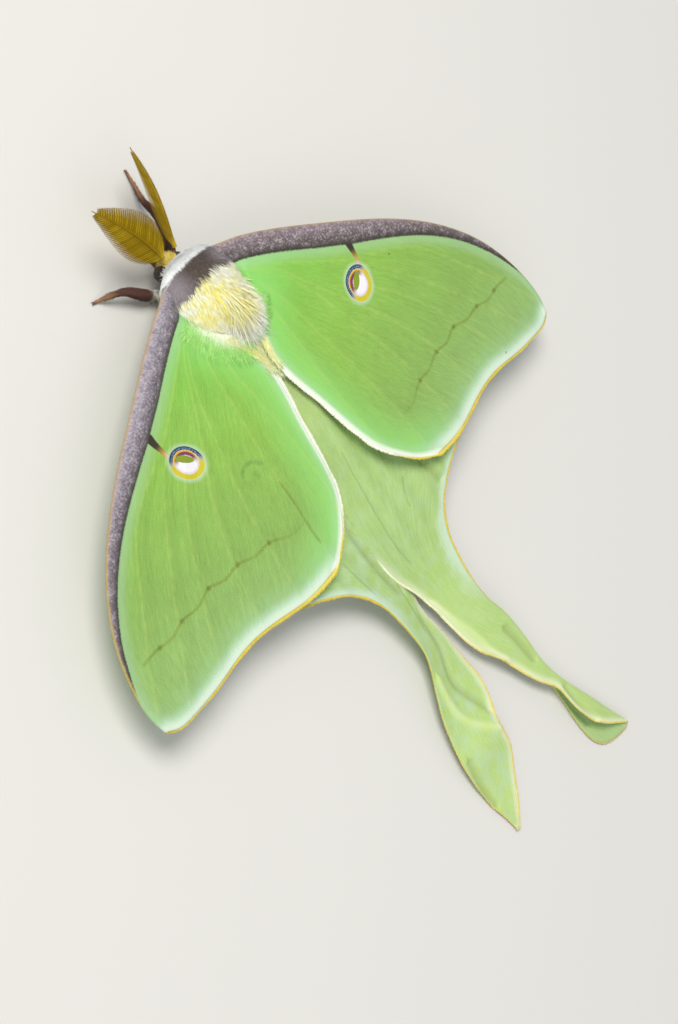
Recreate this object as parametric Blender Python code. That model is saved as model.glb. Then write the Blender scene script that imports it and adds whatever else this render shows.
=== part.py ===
"""A male luna moth, Actias luna, life size, at rest on a flat surface with its wings spread.

Lengths below are millimetres and become metres when a mesh is made. In the moth's own layout X
points to its left, Y runs from the antennae towards the tails, and Z up from the surface it stands
on; y = 0 is at the base of the antennae. Paired parts are described on the left and mirrored.
"""

import math

import bmesh
import bpy
import numpy as np

MM = 0.001
GAP = 0.3  # clear space between neighbouring solids
LENGTH_MIDDLE = 38.3  # y halfway between the antenna tips and the tail tips
ROUND = 2 * math.pi

# Wings
FOREWING_THICK = 0.6
HINDWING_THICK = 0.5
WING_HEIGHT = 8.0  # of the forewings, where they meet over the midline
WING_DROOP = 0.05  # fall of a wing for each millimetre away from the midline
COSTA_ARCH = 1.8  # rise of the forewing's leading edge at mid span

# The forewing's edges, from the left wing seen from above
FOREWING_ROOT = [(5.6, 2.0), (5.7, 5.5), (5.1, 9.0)]
FOREWING_COSTA = [(5.6, 2.0), (8.1, 2.9), (19.8, 8.8), (29.8, 14.7), (37.2, 20.5), (42.7, 27.5),
                  (45.2, 34.6), (45.4, 38.6), (44.8, 40.9)]
FOREWING_OUTER = [(44.8, 40.9), (43.4, 41.7), (40.6, 42.0), (35.5, 41.7), (29.5, 41.0),
                  (23.5, 41.6), (18.0, 42.6), (12.4, 42.5)]
FOREWING_INNER = [(5.1, 9.0), (1.6, 13.6), (0.4, 17.0), (1.7, 25.5), (3.0, 31.5), (4.6, 35.9),
                  (6.4, 38.3), (9.4, 41.0), (12.4, 42.5)]

# The hindwing's leading edge runs round its apex and down the outer margin to the neck of the tail
HINDWING_LEADING = [(5.9, 7.4, 6.9), (12.0, 11.0, 6.5), (21.5, 19.5, 6.0), (27.4, 28.5, 5.6),
                    (28.0, 35.0, 5.5), (24.0, 40.0, 5.6), (17.3, 43.4, 5.8), (13.0, 45.6, 5.2),
                    (10.5, 47.6, 4.7), (8.8, 49.9, 4.2), (7.8, 52.6, 3.8), (7.3, 56.0, 3.4)]
# The right hindwing's inner margin crosses the midline and lies over the left one's
HINDWING_TRAILING = {
    "left": [(5.4, 10.4, 6.9), (2.6, 13.4, 6.9), (0.5, 17.0, 6.9), (0.0, 22.0, 6.7),
             (-0.2, 26.0, 6.4), (-0.5, 30.0, 6.0), (-0.8, 34.0, 5.6), (-1.1, 38.0, 5.0),
             (-0.9, 45.6, 3.4), (0.6, 52.2, 1.5), (1.3, 56.4, 0.8)],
    "right": [(5.4, 10.4, 6.9), (2.6, 13.4, 6.9), (0.5, 17.0, 6.9), (0.9, 22.0, 6.95),
              (0.6, 26.0, 7.0), (-0.8, 30.0, 6.95), (-2.4, 34.0, 6.6), (-3.4, 37.6, 6.2),
              (-4.1, 41.6, 5.6), (-4.0, 46.5, 4.8), (-3.0, 50.8, 3.6), (-1.8, 53.4, 2.6),
              (-0.7, 56.6, 1.6)],
}

# Tails: three lines each, the inner edge, the middle or crease, and the outer edge, neck to tip.
# The left one is a twisted blade. The right one is folded along its crease, outer half underneath.
TAIL_LINES = {
    "left": {
        "inner": [(1.25, 56.8, 0.8), (0.7, 61.0, 0.7), (0.8, 66.0, 0.8), (1.0, 69.0, 1.1),
                  (2.4, 72.0, 1.5), (4.0, 75.6, 1.8), (4.1, 77.4, 1.4), (5.6, 79.8, 1.1),
                  (7.9, 83.0, 0.8), (11.3, 86.7, 0.5)],
        "middle": [(4.3, 56.6, 2.2), (3.9, 61.0, 1.7), (5.0, 66.0, 1.3), (6.4, 69.4, 1.3),
                   (7.9, 72.8, 1.6), (8.9, 75.8, 1.7), (9.4, 77.9, 1.1), (9.9, 80.6, 0.6),
                   (10.7, 83.4, 0.4), (11.8, 86.8, 0.4)],
        "outer": [(7.3, 56.4, 3.4), (7.4, 60.0, 3.1), (8.6, 62.9, 2.7), (10.6, 66.8, 2.1),
                  (12.0, 70.8, 1.5), (12.8, 74.6, 1.1), (13.0, 78.3, 0.7), (12.6, 82.2, 0.4),
                  (12.1, 85.0, 0.3), (12.0, 86.9, 0.3)],
    },
    "right": {
        "inner": [(-0.65, 57.0, 1.6), (-0.1, 61.8, 1.7), (0.9, 66.0, 1.8), (2.7, 69.4, 1.9),
                  (4.2, 72.8, 1.9), (5.7, 75.9, 1.9), (7.2, 78.2, 1.9), (7.2, 80.9, 2.2),
                  (7.6, 83.8, 2.5), (9.2, 86.5, 2.3), (11.5, 88.4, 1.6), (13.8, 90.0, 1.0)],
        "middle": [(3.2, 56.8, 2.5), (4.8, 60.4, 2.9), (6.9, 64.0, 2.9), (7.8, 67.2, 2.6),
                   (8.1, 70.4, 2.2), (8.1, 73.8, 1.9), (8.8, 77.0, 1.6), (9.9, 79.8, 1.3),
                   (11.6, 84.0, 1.1), (12.7, 87.0, 1.0), (13.6, 89.2, 0.9), (14.1, 90.4, 0.8)],
        "outer": [(7.1, 56.4, 3.4), (7.1, 60.0, 3.1), (7.3, 63.2, 2.3), (6.9, 66.6, 1.2),
                  (6.4, 70.0, 0.45), (6.6, 74.0, 0.25), (7.6, 78.0, 0.25), (7.5, 81.4, 0.25),
                  (7.0, 85.6, 0.25), (7.9, 89.0, 0.25), (10.5, 90.4, 0.25), (13.6, 90.7, 0.35)],
    },
}

# Body: each station is (y, half width, top, bottom)
HEAD = [(-1.15, 0.0, 3.5, 3.5), (-1.0, 0.9, 4.4, 2.6), (-0.3, 1.6, 5.0, 1.9),
        (0.6, 1.85, 5.1, 1.6), (1.6, 1.8, 4.8, 1.6)]
COLLAR = [(-0.1, 2.0, 7.5, 5.7), (0.3, 3.4, 8.3, 5.5), (0.9, 4.6, 8.8, 5.4), (1.6, 5.4, 9.2, 5.1),
          (2.3, 5.9, 9.4, 2.6)]
THORAX = [(2.6, 6.0, 9.5, 2.1), (4.0, 6.2, 9.9, 2.0), (6.0, 6.0, 10.1, 1.9),
          (8.0, 5.5, 9.9, 1.9), (9.5, 4.9, 9.4, 1.8), (11.0, 4.0, 8.6, 1.7), (12.6, 3.2, 7.3, 1.5)]
ABDOMEN = [(12.9, 3.0, 6.0, 1.2), (15.0, 3.4, 6.2, 0.5), (19.0, 3.5, 6.2, 0.0),
           (24.0, 3.3, 5.9, -0.2), (28.0, 2.7, 5.1, -0.2), (31.0, 1.9, 4.1, -0.1),
           (32.6, 1.0, 3.1, 0.6), (33.1, 0.0, 1.9, 1.9)]
ABDOMEN_SEGMENT = 2.6  # length of one of its rings
ABDOMEN_RIPPLE = 0.03  # share of the width by which a ring swells
EYE_PLACE = (1.7, 0.5, 3.9)
EYE_RADIUS = 1.05

# Antennae: base, direction of the stem, how far the comb's plane leans outwards
ANTENNA_LENGTH = 13.5
ANTENNA_HALF_WIDTH = 2.8
ANTENNA_THICK = 0.5
ANTENNA_BOW = 0.5  # rise of the stem out of the comb's plane
ANTENNA_CURVE = 0.5  # curve of the stem towards the midline, in the comb's plane
ANTENNA_BASE = (1.25, -1.05, 5.7)
ANTENNA_WAY = {"left": (7.45, -10.15, 4.8), "right": (2.9, -12.95, 1.95)}
ANTENNA_LEAN = math.radians(39)

# Legs: hip to claw, with the radius at each point
LEG_RADII = [0.65, 0.75, 0.7, 0.5, 0.36, 0.28]
LEG_PATHS = {
    "foreleg_left": [(2.3, 2.3, 1.1), (4.7, 0.9, 1.9), (6.9, -0.9, 2.2), (8.1, -1.5, 1.5),
                     (9.0, -1.9, 0.55), (10.1, -2.2, 0.22)],
    "foreleg_right": [(2.4, 2.3, 1.1), (3.1, -1.4, 2.3), (4.5, -5.0, 2.6), (5.0, -7.7, 1.7),
                      (5.9, -9.4, 0.9), (7.0, -12.1, 0.22)],
    "midleg_left": [(2.7, 5.6, 1.0), (6.0, 6.2, 2.6), (8.6, 7.8, 3.0), (9.6, 9.6, 1.6),
                    (10.6, 11.6, 0.6), (12.2, 14.0, 0.22)],
    "midleg_right": [(2.7, 5.6, 1.0), (6.4, 4.9, 2.6), (9.2, 5.4, 3.0), (10.2, 6.8, 1.6),
                     (11.3, 8.6, 0.6), (12.9, 10.4, 0.22)],
    "hindleg_left": [(2.6, 9.0, 0.9), (5.9, 10.6, 2.4), (7.9, 12.6, 2.8), (8.6, 14.8, 1.5),
                     (9.4, 17.0, 0.6), (10.8, 19.6, 0.22)],
    "hindleg_right": [(2.6, 9.0, 0.9), (6.1, 10.4, 2.4), (8.2, 12.0, 2.8), (9.2, 14.0, 1.5),
                      (10.4, 16.0, 0.6), (12.2, 18.2, 0.22)],
}
SIDES = {"left": 1, "right": -1}

# colour, roughness
FINISHES = {
    "wing": ((0.30, 0.60, 0.13), 0.75),
    "hindwing": ((0.48, 0.68, 0.22), 0.75),
    "white_fur": ((0.85, 0.88, 0.80), 0.9),
    "yellow_fur": ((0.83, 0.79, 0.35), 0.9),
    "antenna": ((0.36, 0.22, 0.02), 0.7),
    "leg": ((0.22, 0.06, 0.05), 0.7),
    "eye": ((0.03, 0.02, 0.02), 0.25),
}


def natural_cubic(knots, values):
    """The smooth function through values at knots, with no bend at its two ends."""
    knots = np.array(knots, float)
    values = np.array(values, float)
    steps = np.diff(knots)
    count = len(knots)
    system = np.eye(count)
    slopes = np.diff(values, axis=0) / steps[:, None]
    wanted = np.zeros_like(values)
    for i in range(1, count - 1):
        system[i, i - 1 : i + 2] = steps[i - 1], 2 * (steps[i - 1] + steps[i]), steps[i]
        wanted[i] = 6 * (slopes[i] - slopes[i - 1])
    bends = np.linalg.solve(system, wanted)

    def function(at):
        i = int(np.clip(np.searchsorted(knots, at) - 1, 0, count - 2))
        h = steps[i]
        a = (knots[i + 1] - at) / h
        b = (at - knots[i]) / h
        curved = ((a**3 - a) * bends[i] + (b**3 - b) * bends[i + 1]) * h * h / 6
        return a * values[i] + b * values[i + 1] + curved

    return function


def smooth_curve(points):
    """A curve through the points, as a function of the share 0 to 1 of its length."""
    points = np.array(points, float)
    chords = np.linalg.norm(np.diff(points, axis=0), axis=1)
    knots = np.concatenate([[0.0], np.cumsum(chords)])
    return natural_cubic(knots / knots[-1], points)


def make_material(name):
    colour, roughness = FINISHES[name]
    material = bpy.data.materials.new(name)
    material.use_nodes = True
    shader = material.node_tree.nodes["Principled BSDF"]
    shader.inputs["Base Color"].default_value = (*colour, 1.0)
    shader.inputs["Roughness"].default_value = roughness
    return material


def add_node(name, points, faces, finish, thick=0.0):
    """One named solid. A sheet of faces is given its thickness, half to each side."""
    points = np.array(points, float)
    place = points.mean(axis=0)
    mesh = bpy.data.meshes.new(name)
    mesh.from_pydata(((points - place) * MM).tolist(), [], faces)
    mesh.materials.append(bpy.data.materials[finish])
    work = bmesh.new()
    work.from_mesh(mesh)
    bmesh.ops.recalc_face_normals(work, faces=work.faces)
    work.to_mesh(mesh)
    work.free()
    mesh.shade_smooth()
    mesh.set_sharp_from_angle(angle=math.radians(50))
    node = bpy.data.objects.new(name, mesh)
    bpy.context.collection.objects.link(node)
    node.location = place * MM
    node.parent = bpy.data.objects["moth"]
    if thick:
        wall = node.modifiers.new("thickness", "SOLIDIFY")
        wall.thickness = thick * MM
        wall.offset = 0.0
    return node


def grid_faces(rows, columns):
    """Quads of a grid of rows by columns points."""
    faces = []
    for r in range(rows - 1):
        for c in range(columns - 1):
            corner = r * columns + c
            faces.append((corner, corner + 1, corner + columns + 1, corner + columns))
    return faces


def sheet(surface, rows, columns):
    """Points and faces of surface(s, t) with s and t from 0 to 1."""
    points = [surface(r / (rows - 1), c / (columns - 1)) for r in range(rows) for c in range(columns)]
    return points, grid_faces(rows, columns)


def loft(rings):
    """Points and faces of a closed skin over rings of equal count, capped flat at both ends."""
    count = len(rings[0])
    points = [point for ring in rings for point in ring]
    faces = []
    for r in range(len(rings) - 1):
        for c in range(count):
            d = (c + 1) % count
            a, b = r * count, (r + 1) * count
            faces.append((a + c, a + d, b + d, b + c))
    faces.append(tuple(range(count)))
    faces.append(tuple(range(len(points) - count, len(points))))
    return points, faces


def mirrored(points, side):
    """Points on the moth's left, or their mirror image on its right."""
    return [(SIDES[side] * x, *rest) for x, *rest in points]


def coons(root, far, lead, trail):
    """The surface spanned by four edges that meet at their corners."""

    def surface(s, t):
        across = (1 - s) * root(t) + s * far(t)
        along = (1 - t) * lead(s) + t * trail(s)
        near_corners = (1 - t) * root(0) + t * root(1)
        far_corners = (1 - t) * far(0) + t * far(1)
        return across + along - (1 - s) * near_corners - s * far_corners

    return surface


def forewing(side):
    """A triangle with an arched leading edge, held nearly flat."""
    edges = [FOREWING_ROOT, FOREWING_OUTER, FOREWING_COSTA, FOREWING_INNER]
    outline = coons(*[smooth_curve(edge) for edge in edges])

    def surface(s, t):
        x, y = outline(s, t)
        arch = COSTA_ARCH * math.sin(math.pi * s) * (1 - t) ** 2
        return SIDES[side] * x, y, WING_HEIGHT - WING_DROOP * x + arch

    points, faces = sheet(surface, 20, 10)
    add_node(f"forewing_{side}", points, faces, "wing", FOREWING_THICK)


def hindwing(side):
    """The wing under the forewing, sinking behind the body towards the neck of its tail."""
    lead = smooth_curve(HINDWING_LEADING)
    trail = smooth_curve(HINDWING_TRAILING[side])

    def surface(s, t):
        x, y, z = (1 - t) * lead(s) + t * trail(s)
        return SIDES[side] * x, y, z

    points, faces = sheet(surface, 20, 9)
    add_node(f"hindwing_{side}", points, faces, "hindwing", HINDWING_THICK)


def tail(side):
    """A blade lofted across its inner edge, middle line and outer edge."""
    lines = {name: smooth_curve(points) for name, points in TAIL_LINES[side].items()}

    def surface(s, t):
        inner, middle, outer = (lines[name](s) for name in ("inner", "middle", "outer"))
        rib = natural_cubic([0.0, 0.5, 1.0], [inner, middle, outer])
        x, y, z = rib(t)
        return SIDES[side] * x, y, z

    points, faces = sheet(surface, 17, 9)
    add_node(f"tail_{side}", points, faces, "hindwing", HINDWING_THICK)


def body_part(name, stations, finish, rings, sides=24, ripple=0.0):
    """A stretch of the body lofted over its stations, flat underneath where it lies on the floor."""
    profile = smooth_curve(stations)
    lofted = []
    for r in range(rings):
        y, half_width, top, bottom = profile(r / (rings - 1))
        half_width *= 1 + ripple * math.cos(ROUND * y / ABDOMEN_SEGMENT)
        middle, half_height = (top + bottom) / 2, (top - bottom) / 2
        half_width, half_height = max(half_width, 0.12), max(half_height, 0.12)
        angles = [ROUND * k / sides for k in range(sides)]
        lofted.append([(half_width * math.cos(a), y, max(middle + half_height * math.sin(a), 0.0))
                       for a in angles])
    points, faces = loft(lofted)
    return add_node(name, points, faces, finish)


def ball(name, place, radius, finish):
    """A closed sphere of rings, blunt at its two poles."""
    rings = []
    for r in range(11):
        polar = math.pi * (0.04 + 0.92 * r / 10)
        ring = [(place[0] + radius * math.cos(polar),
                 place[1] + radius * math.sin(polar) * math.cos(ROUND * k / 16),
                 place[2] + radius * math.sin(polar) * math.sin(ROUND * k / 16)) for k in range(16)]
        rings.append(ring)
    points, faces = loft(rings)
    return add_node(name, points, faces, finish)


def head():
    """The head, with a round socket cut for each eye, and the eyes in them."""
    skull = body_part("head", HEAD, "yellow_fur", 10)
    for side in SIDES:
        place = mirrored([EYE_PLACE], side)[0]
        ball(f"eye_{side}", place, EYE_RADIUS, "eye")
        socket = ball(f"socket_{side}", place, EYE_RADIUS + GAP, "eye")
        socket.hide_render = True
        socket.display_type = "WIRE"
        cut = skull.modifiers.new(f"socket_{side}", "BOOLEAN")
        cut.operation = "DIFFERENCE"
        cut.object = socket


def antenna(side):
    """A feather-shaped comb on a stem, its outer side lower than its inner one."""
    base = np.array(mirrored([ANTENNA_BASE], side)[0])
    way = np.array(mirrored([ANTENNA_WAY[side]], side)[0])
    way /= np.linalg.norm(way)
    level = SIDES[side] * np.array([-way[1], way[0], 0.0])
    level /= np.linalg.norm(level)
    lift = SIDES[side] * np.cross(way, level)
    outward = math.cos(ANTENNA_LEAN) * level - math.sin(ANTENNA_LEAN) * lift
    up = math.sin(ANTENNA_LEAN) * level + math.cos(ANTENNA_LEAN) * lift

    def surface(s, t):
        swell = math.sin(math.pi * min(max(s, 0.012), 0.985) ** 0.78) ** 0.85
        arc = math.sin(math.pi * s)
        across = (2 * t - 1) * ANTENNA_HALF_WIDTH * swell - ANTENNA_CURVE * arc
        return tuple(base + way * ANTENNA_LENGTH * s + outward * across + up * ANTENNA_BOW * arc)

    points, faces = sheet(surface, 16, 5)
    add_node(f"antenna_{side}", points, faces, "antenna", ANTENNA_THICK)


def leg(name):
    """A tapering limb bent at its knee and ankle, its foot flat on the floor."""
    side = name.split("_")[1]
    path = smooth_curve(mirrored(LEG_PATHS[name], side))
    radius = natural_cubic(np.linspace(0, 1, len(LEG_RADII)), [[r] for r in LEG_RADII])
    stations, sides = 16, 8
    rings = []
    for k in range(stations):
        share = k / (stations - 1)
        centre = path(share)
        ahead = path(min(share + 0.01, 1.0)) - path(max(share - 0.01, 0.0))
        ahead /= np.linalg.norm(ahead)
        across = np.cross(ahead, (0.0, 0.0, 1.0))
        across /= np.linalg.norm(across)
        lift = np.cross(across, ahead)
        r = radius(share)[0]
        ring = [centre + r * (math.cos(a) * across + math.sin(a) * lift)
                for a in (ROUND * (c + 0.5) / sides for c in range(sides))]
        rings.append([(x, y, max(z, 0.0)) for x, y, z in ring])
    points, faces = loft(rings)
    add_node(name, points, faces, "leg")


def main():
    for old in list(bpy.data.objects):
        bpy.data.objects.remove(old)
    for finish in FINISHES:
        make_material(finish)
    moth = bpy.data.objects.new("moth", None)
    bpy.context.collection.objects.link(moth)
    moth.location = (0.0, -LENGTH_MIDDLE * MM, 0.0)
    head()
    body_part("collar", COLLAR, "white_fur", 7)
    body_part("thorax", THORAX, "yellow_fur", 12)
    body_part("abdomen", ABDOMEN, "white_fur", 30, sides=20, ripple=ABDOMEN_RIPPLE)
    for side in SIDES:
        forewing(side)
        hindwing(side)
        tail(side)
        antenna(side)
    for name in LEG_PATHS:
        leg(name)


main()
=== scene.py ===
"""Looks of a life-size male luna moth, Actias luna, resting with its wings spread.

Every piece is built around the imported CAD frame. Lengths are millimetres in the moth's own layout,
X to its left, Y from the antennae to the tails, Z up, and become metres when a mesh is made.
Paired parts are described on the left and mirrored. Material colours are display values, 0 to 255.
"""

import math

import bpy
import numpy as np
from mathutils import Matrix, Vector
from mathutils.kdtree import KDTree

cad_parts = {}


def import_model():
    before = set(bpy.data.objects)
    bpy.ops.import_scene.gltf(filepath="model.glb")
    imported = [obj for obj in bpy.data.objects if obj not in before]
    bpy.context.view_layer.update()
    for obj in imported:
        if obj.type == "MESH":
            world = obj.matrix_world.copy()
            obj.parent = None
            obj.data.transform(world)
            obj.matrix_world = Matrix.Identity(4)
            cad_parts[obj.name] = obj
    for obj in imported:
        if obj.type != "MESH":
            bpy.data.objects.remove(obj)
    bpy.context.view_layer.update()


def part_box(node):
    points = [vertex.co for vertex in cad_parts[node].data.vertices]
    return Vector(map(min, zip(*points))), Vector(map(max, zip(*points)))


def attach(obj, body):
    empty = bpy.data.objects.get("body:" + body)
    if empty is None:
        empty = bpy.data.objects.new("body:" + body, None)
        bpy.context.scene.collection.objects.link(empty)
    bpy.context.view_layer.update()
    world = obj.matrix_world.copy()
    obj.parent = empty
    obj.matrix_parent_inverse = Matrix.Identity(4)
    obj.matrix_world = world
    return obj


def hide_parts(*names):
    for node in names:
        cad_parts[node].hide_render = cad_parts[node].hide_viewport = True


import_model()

MM = 0.001
LENGTH_MIDDLE = 38.3  # layout y of the frame's origin
ORIGIN = np.array([0.0, LENGTH_MIDDLE, 0.0])
SIDES = {"left": 1, "right": -1}
MIRROR = {side: np.array([sign, 1.0, 1.0]) for side, sign in SIDES.items()}
ROUND = 2 * math.pi
UP = np.array([0.0, 0.0, 1.0])
SEED = 20
PATCH = 0.003  # size of one tuft on the baked map
FLOOR_GAP = 0.03  # no hair hangs lower than this
FOOT_GAP = 0.02  # no leg or claw comes lower
BELLY_GAP = 0.12  # nor does the body

# ---------------------------------------------------------------- the wings' shape
WING_HEIGHT = 8.0
WING_DROOP = 0.05
COSTA_ARCH = 1.8
FOREWING_ROOT = [(5.6, 2.0), (5.7, 5.5), (5.1, 9.0)]
FOREWING_COSTA = [(5.6, 2.0), (8.1, 2.9), (19.8, 8.8), (29.8, 14.7), (37.2, 20.5), (42.7, 27.5),
                  (45.2, 34.6), (45.4, 38.6), (44.8, 40.9)]
FOREWING_OUTER = [(44.8, 40.9), (43.4, 41.7), (40.6, 42.0), (35.5, 41.7), (29.5, 41.0),
                  (23.5, 41.6), (18.0, 42.6), (12.4, 42.5)]
FOREWING_INNER = [(5.1, 9.0), (1.6, 13.6), (0.4, 17.0), (1.7, 25.5), (3.0, 31.5), (4.6, 35.9),
                  (6.4, 38.3), (9.4, 41.0), (12.4, 42.5)]
HINDWING_LEADING = [(5.9, 7.4, 6.9), (12.0, 11.0, 6.5), (21.5, 19.5, 6.0), (27.4, 28.5, 5.6),
                    (28.0, 35.0, 5.5), (24.0, 40.0, 5.6), (17.3, 43.4, 5.8), (13.0, 45.6, 5.2),
                    (10.5, 47.6, 4.7), (8.8, 49.9, 4.2), (7.8, 52.6, 3.8), (7.3, 56.0, 3.4)]
# The hindwings' inner margins, which run on out of sight under the wing above
HINDWING_TRAILING = {
    "left": [(5.4, 10.4, 6.9), (2.6, 13.4, 6.9), (0.3, 17.0, 6.8), (-0.8, 22.0, 6.45),
             (-1.4, 26.0, 6.15), (-1.9, 30.0, 5.6), (-2.3, 34.0, 5.1), (-2.5, 38.0, 4.3),
             (-1.8, 45.6, 2.9), (0.3, 52.2, 1.5), (1.3, 56.4, 0.8)],
    "right": [(5.4, 10.4, 6.9), (2.6, 13.4, 6.9), (0.2, 17.0, 6.9), (-0.8, 22.0, 6.95),
              (-1.6, 26.0, 6.85), (-2.5, 30.0, 6.45), (-3.2, 34.0, 5.8), (-3.7, 37.6, 5.2),
              (-4.2, 41.6, 4.7), (-4.0, 46.5, 4.0), (-3.0, 50.8, 3.0), (-1.8, 53.4, 2.3),
              (-0.7, 56.6, 1.6)],
}
TAIL_LINES = {
    "left": {
        "inner": [(1.25, 56.8, 0.8), (0.7, 61.0, 0.7), (0.8, 66.0, 0.8), (1.0, 69.0, 1.1),
                  (2.4, 72.0, 1.5), (4.0, 75.6, 1.8), (4.1, 77.4, 1.4), (5.6, 79.8, 1.1),
                  (7.9, 83.0, 0.8), (11.3, 86.7, 0.5)],
        "middle": [(4.3, 56.6, 2.2), (3.9, 61.0, 1.7), (5.0, 66.0, 1.3), (6.4, 69.4, 1.3),
                   (7.9, 72.8, 1.6), (8.9, 75.8, 1.7), (9.4, 77.9, 1.1), (9.9, 80.6, 0.6),
                   (10.7, 83.4, 0.4), (11.8, 86.8, 0.4)],
        "outer": [(7.3, 56.4, 3.4), (7.4, 60.0, 3.1), (8.6, 62.9, 2.7), (10.6, 66.8, 2.1),
                  (12.0, 70.8, 1.5), (12.8, 74.6, 1.1), (13.0, 78.3, 0.7), (12.6, 82.2, 0.4),
                  (12.1, 85.0, 0.3), (12.0, 86.9, 0.3)],
    },
    "right": {
        "inner": [(-0.65, 57.0, 1.6), (-0.1, 61.8, 1.7), (0.9, 66.0, 1.8), (2.7, 69.4, 1.9),
                  (4.2, 72.8, 1.9), (5.7, 75.9, 1.9), (7.2, 78.2, 1.9), (7.2, 80.9, 2.2),
                  (7.6, 83.8, 2.5), (9.2, 86.5, 2.3), (11.5, 88.4, 1.6), (13.8, 90.0, 1.0)],
        "middle": [(3.2, 56.8, 2.5), (4.8, 60.4, 2.9), (6.9, 64.0, 2.9), (7.8, 67.2, 2.6),
                   (8.1, 70.4, 2.2), (8.1, 73.8, 1.9), (8.8, 77.0, 1.6), (9.9, 79.8, 1.3),
                   (11.6, 84.0, 1.1), (12.7, 87.0, 1.0), (13.6, 89.2, 0.9), (14.1, 90.4, 0.8)],
        "outer": [(7.1, 56.4, 3.4), (7.1, 60.0, 3.1), (7.3, 63.2, 2.3), (6.9, 66.6, 1.2),
                  (6.4, 70.0, 0.45), (6.6, 74.0, 0.25), (7.6, 78.0, 0.25), (7.5, 81.4, 0.25),
                  (7.0, 85.6, 0.25), (7.9, 89.0, 0.25), (10.5, 90.4, 0.25), (13.6, 90.7, 0.35)],
    },
}
FORE_LENGTH = 45.0  # from the forewing's root to its tip
FORE_REACH = 42.0  # from its root to its outer margin
FORE_BREADTH = 32.0
HIND_BREADTH = 18.0
FORE_GRID = (190, 140)
HIND_GRID = (330, 110)
MEMBRANE = 0.13  # half the wing's own thickness
MARGIN = 0.45  # the membrane stops this far inside the outline, and the fringe runs out to it
EDGE_ROUNDING = 0.3  # width over which the membrane thins towards its edge
COSTA_LIFT = 0.45  # rise of the rounded leading edge above the membrane
ROOT_REACH = 1.6  # how far a wing runs on into the hair of the thorax
ROOT_SINK = 1.3  # how far it dips there
VEIN_RISE = 0.025
VEIN_WIDTH = 0.22
PLEAT = 0.16  # depth of the wing's surface between veins
STREAK = 8.0  # how much longer than wide the streaks of scales are
HEM_INSET = 0.2  # of the hindwing's inner margin, which has only a short fringe
HEM_PALE = (44.0, 51.0)  # where along the moth that fringe turns from green to white
HEM_ROLL = 0.5  # how far the upper hindwing's inner margin bends down onto the lower one
HEM_ROLL_WIDTH = 0.9
NECK = 26  # cross-sections of the hindwing before its tail begins, and of the tail
GROOVE_DEPTH = 0.36
RIDGE_HEIGHT = 0.4
FOLD_WIDTH = 0.65
UNDERSIDE_SHIFT = 50.0  # keeps the underside's grain from repeating the upper side's

# ---------------------------------------------------------------- the wings' markings
# width of the mauve band behind the leading edge, by share of the edge's length
BAND_WIDTH = [(0.0, 3.0), (0.12, 3.15), (0.25, 3.3), (0.35, 3.2), (0.45, 2.7), (0.55, 2.1),
              (0.65, 1.6), (0.75, 1.15), (0.84, 0.6), (0.9, 0.1), (1.0, -0.6)]
# Forewing veins, base to margin: stems that part from each other
FOREWING_VEINS = [
    [(5.8, 6.0), (13.0, 10.6), (21.2, 15.6), (30.2, 19.7), (36.4, 26.6), (41.6, 33.6), (44.9, 38.9)],
    [(20.0, 16.2), (23.2, 18.1), (27.5, 22.7), (32.8, 29.4), (37.5, 36.2), (41.6, 41.9)],
    [(19.5, 18.7), (24.3, 23.6), (28.8, 30.4), (32.2, 36.4), (34.6, 41.6)],
    [(5.9, 6.6), (9.7, 9.3), (13.0, 14.1), (15.8, 18.3), (20.0, 24.7), (23.6, 32.4), (25.9, 41.2)],
    [(5.9, 6.8), (9.2, 9.6), (12.2, 14.4), (14.4, 20.4), (16.8, 28.0), (18.1, 34.6), (19.0, 42.4)],
    [(5.8, 7.7), (7.8, 12.6), (8.9, 18.5), (10.1, 25.2), (11.0, 32.2), (11.9, 42.2)],
    [(5.5, 9.6), (5.5, 16.7), (5.2, 22.5), (5.2, 29.0), (6.0, 36.0), (7.4, 39.4)],
]
# The thin dark line across the outer third, scalloped between the veins that it crosses
CROSS_LINE = [(42.4, 32.7), (38.7, 32.6), (36.4, 32.9), (34.1, 32.3), (31.2, 32.6), (28.4, 31.9),
              (25.8, 32.7), (23.1, 32.5), (20.4, 33.4), (17.6, 33.5), (14.6, 34.8), (11.5, 34.9)]
CROSS_SPOTS = [(38.7, 32.6), (34.1, 32.3), (28.4, 31.9), (23.1, 32.5), (17.6, 33.5)]
# A crease in the left forewing, drawn only as a dark line of painted shade
FORE_CREASE = [(10.7, 27.9), (11.0, 32.2), (11.4, 35.0), (11.8, 39.5)]
SMUDGE = (12.9, 26.5, 0.0)  # middle of the left forewing's faint broken ring
SPECKS = [(33.5, 39.9), (26.6, 18.4)]  # on the right forewing
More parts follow.
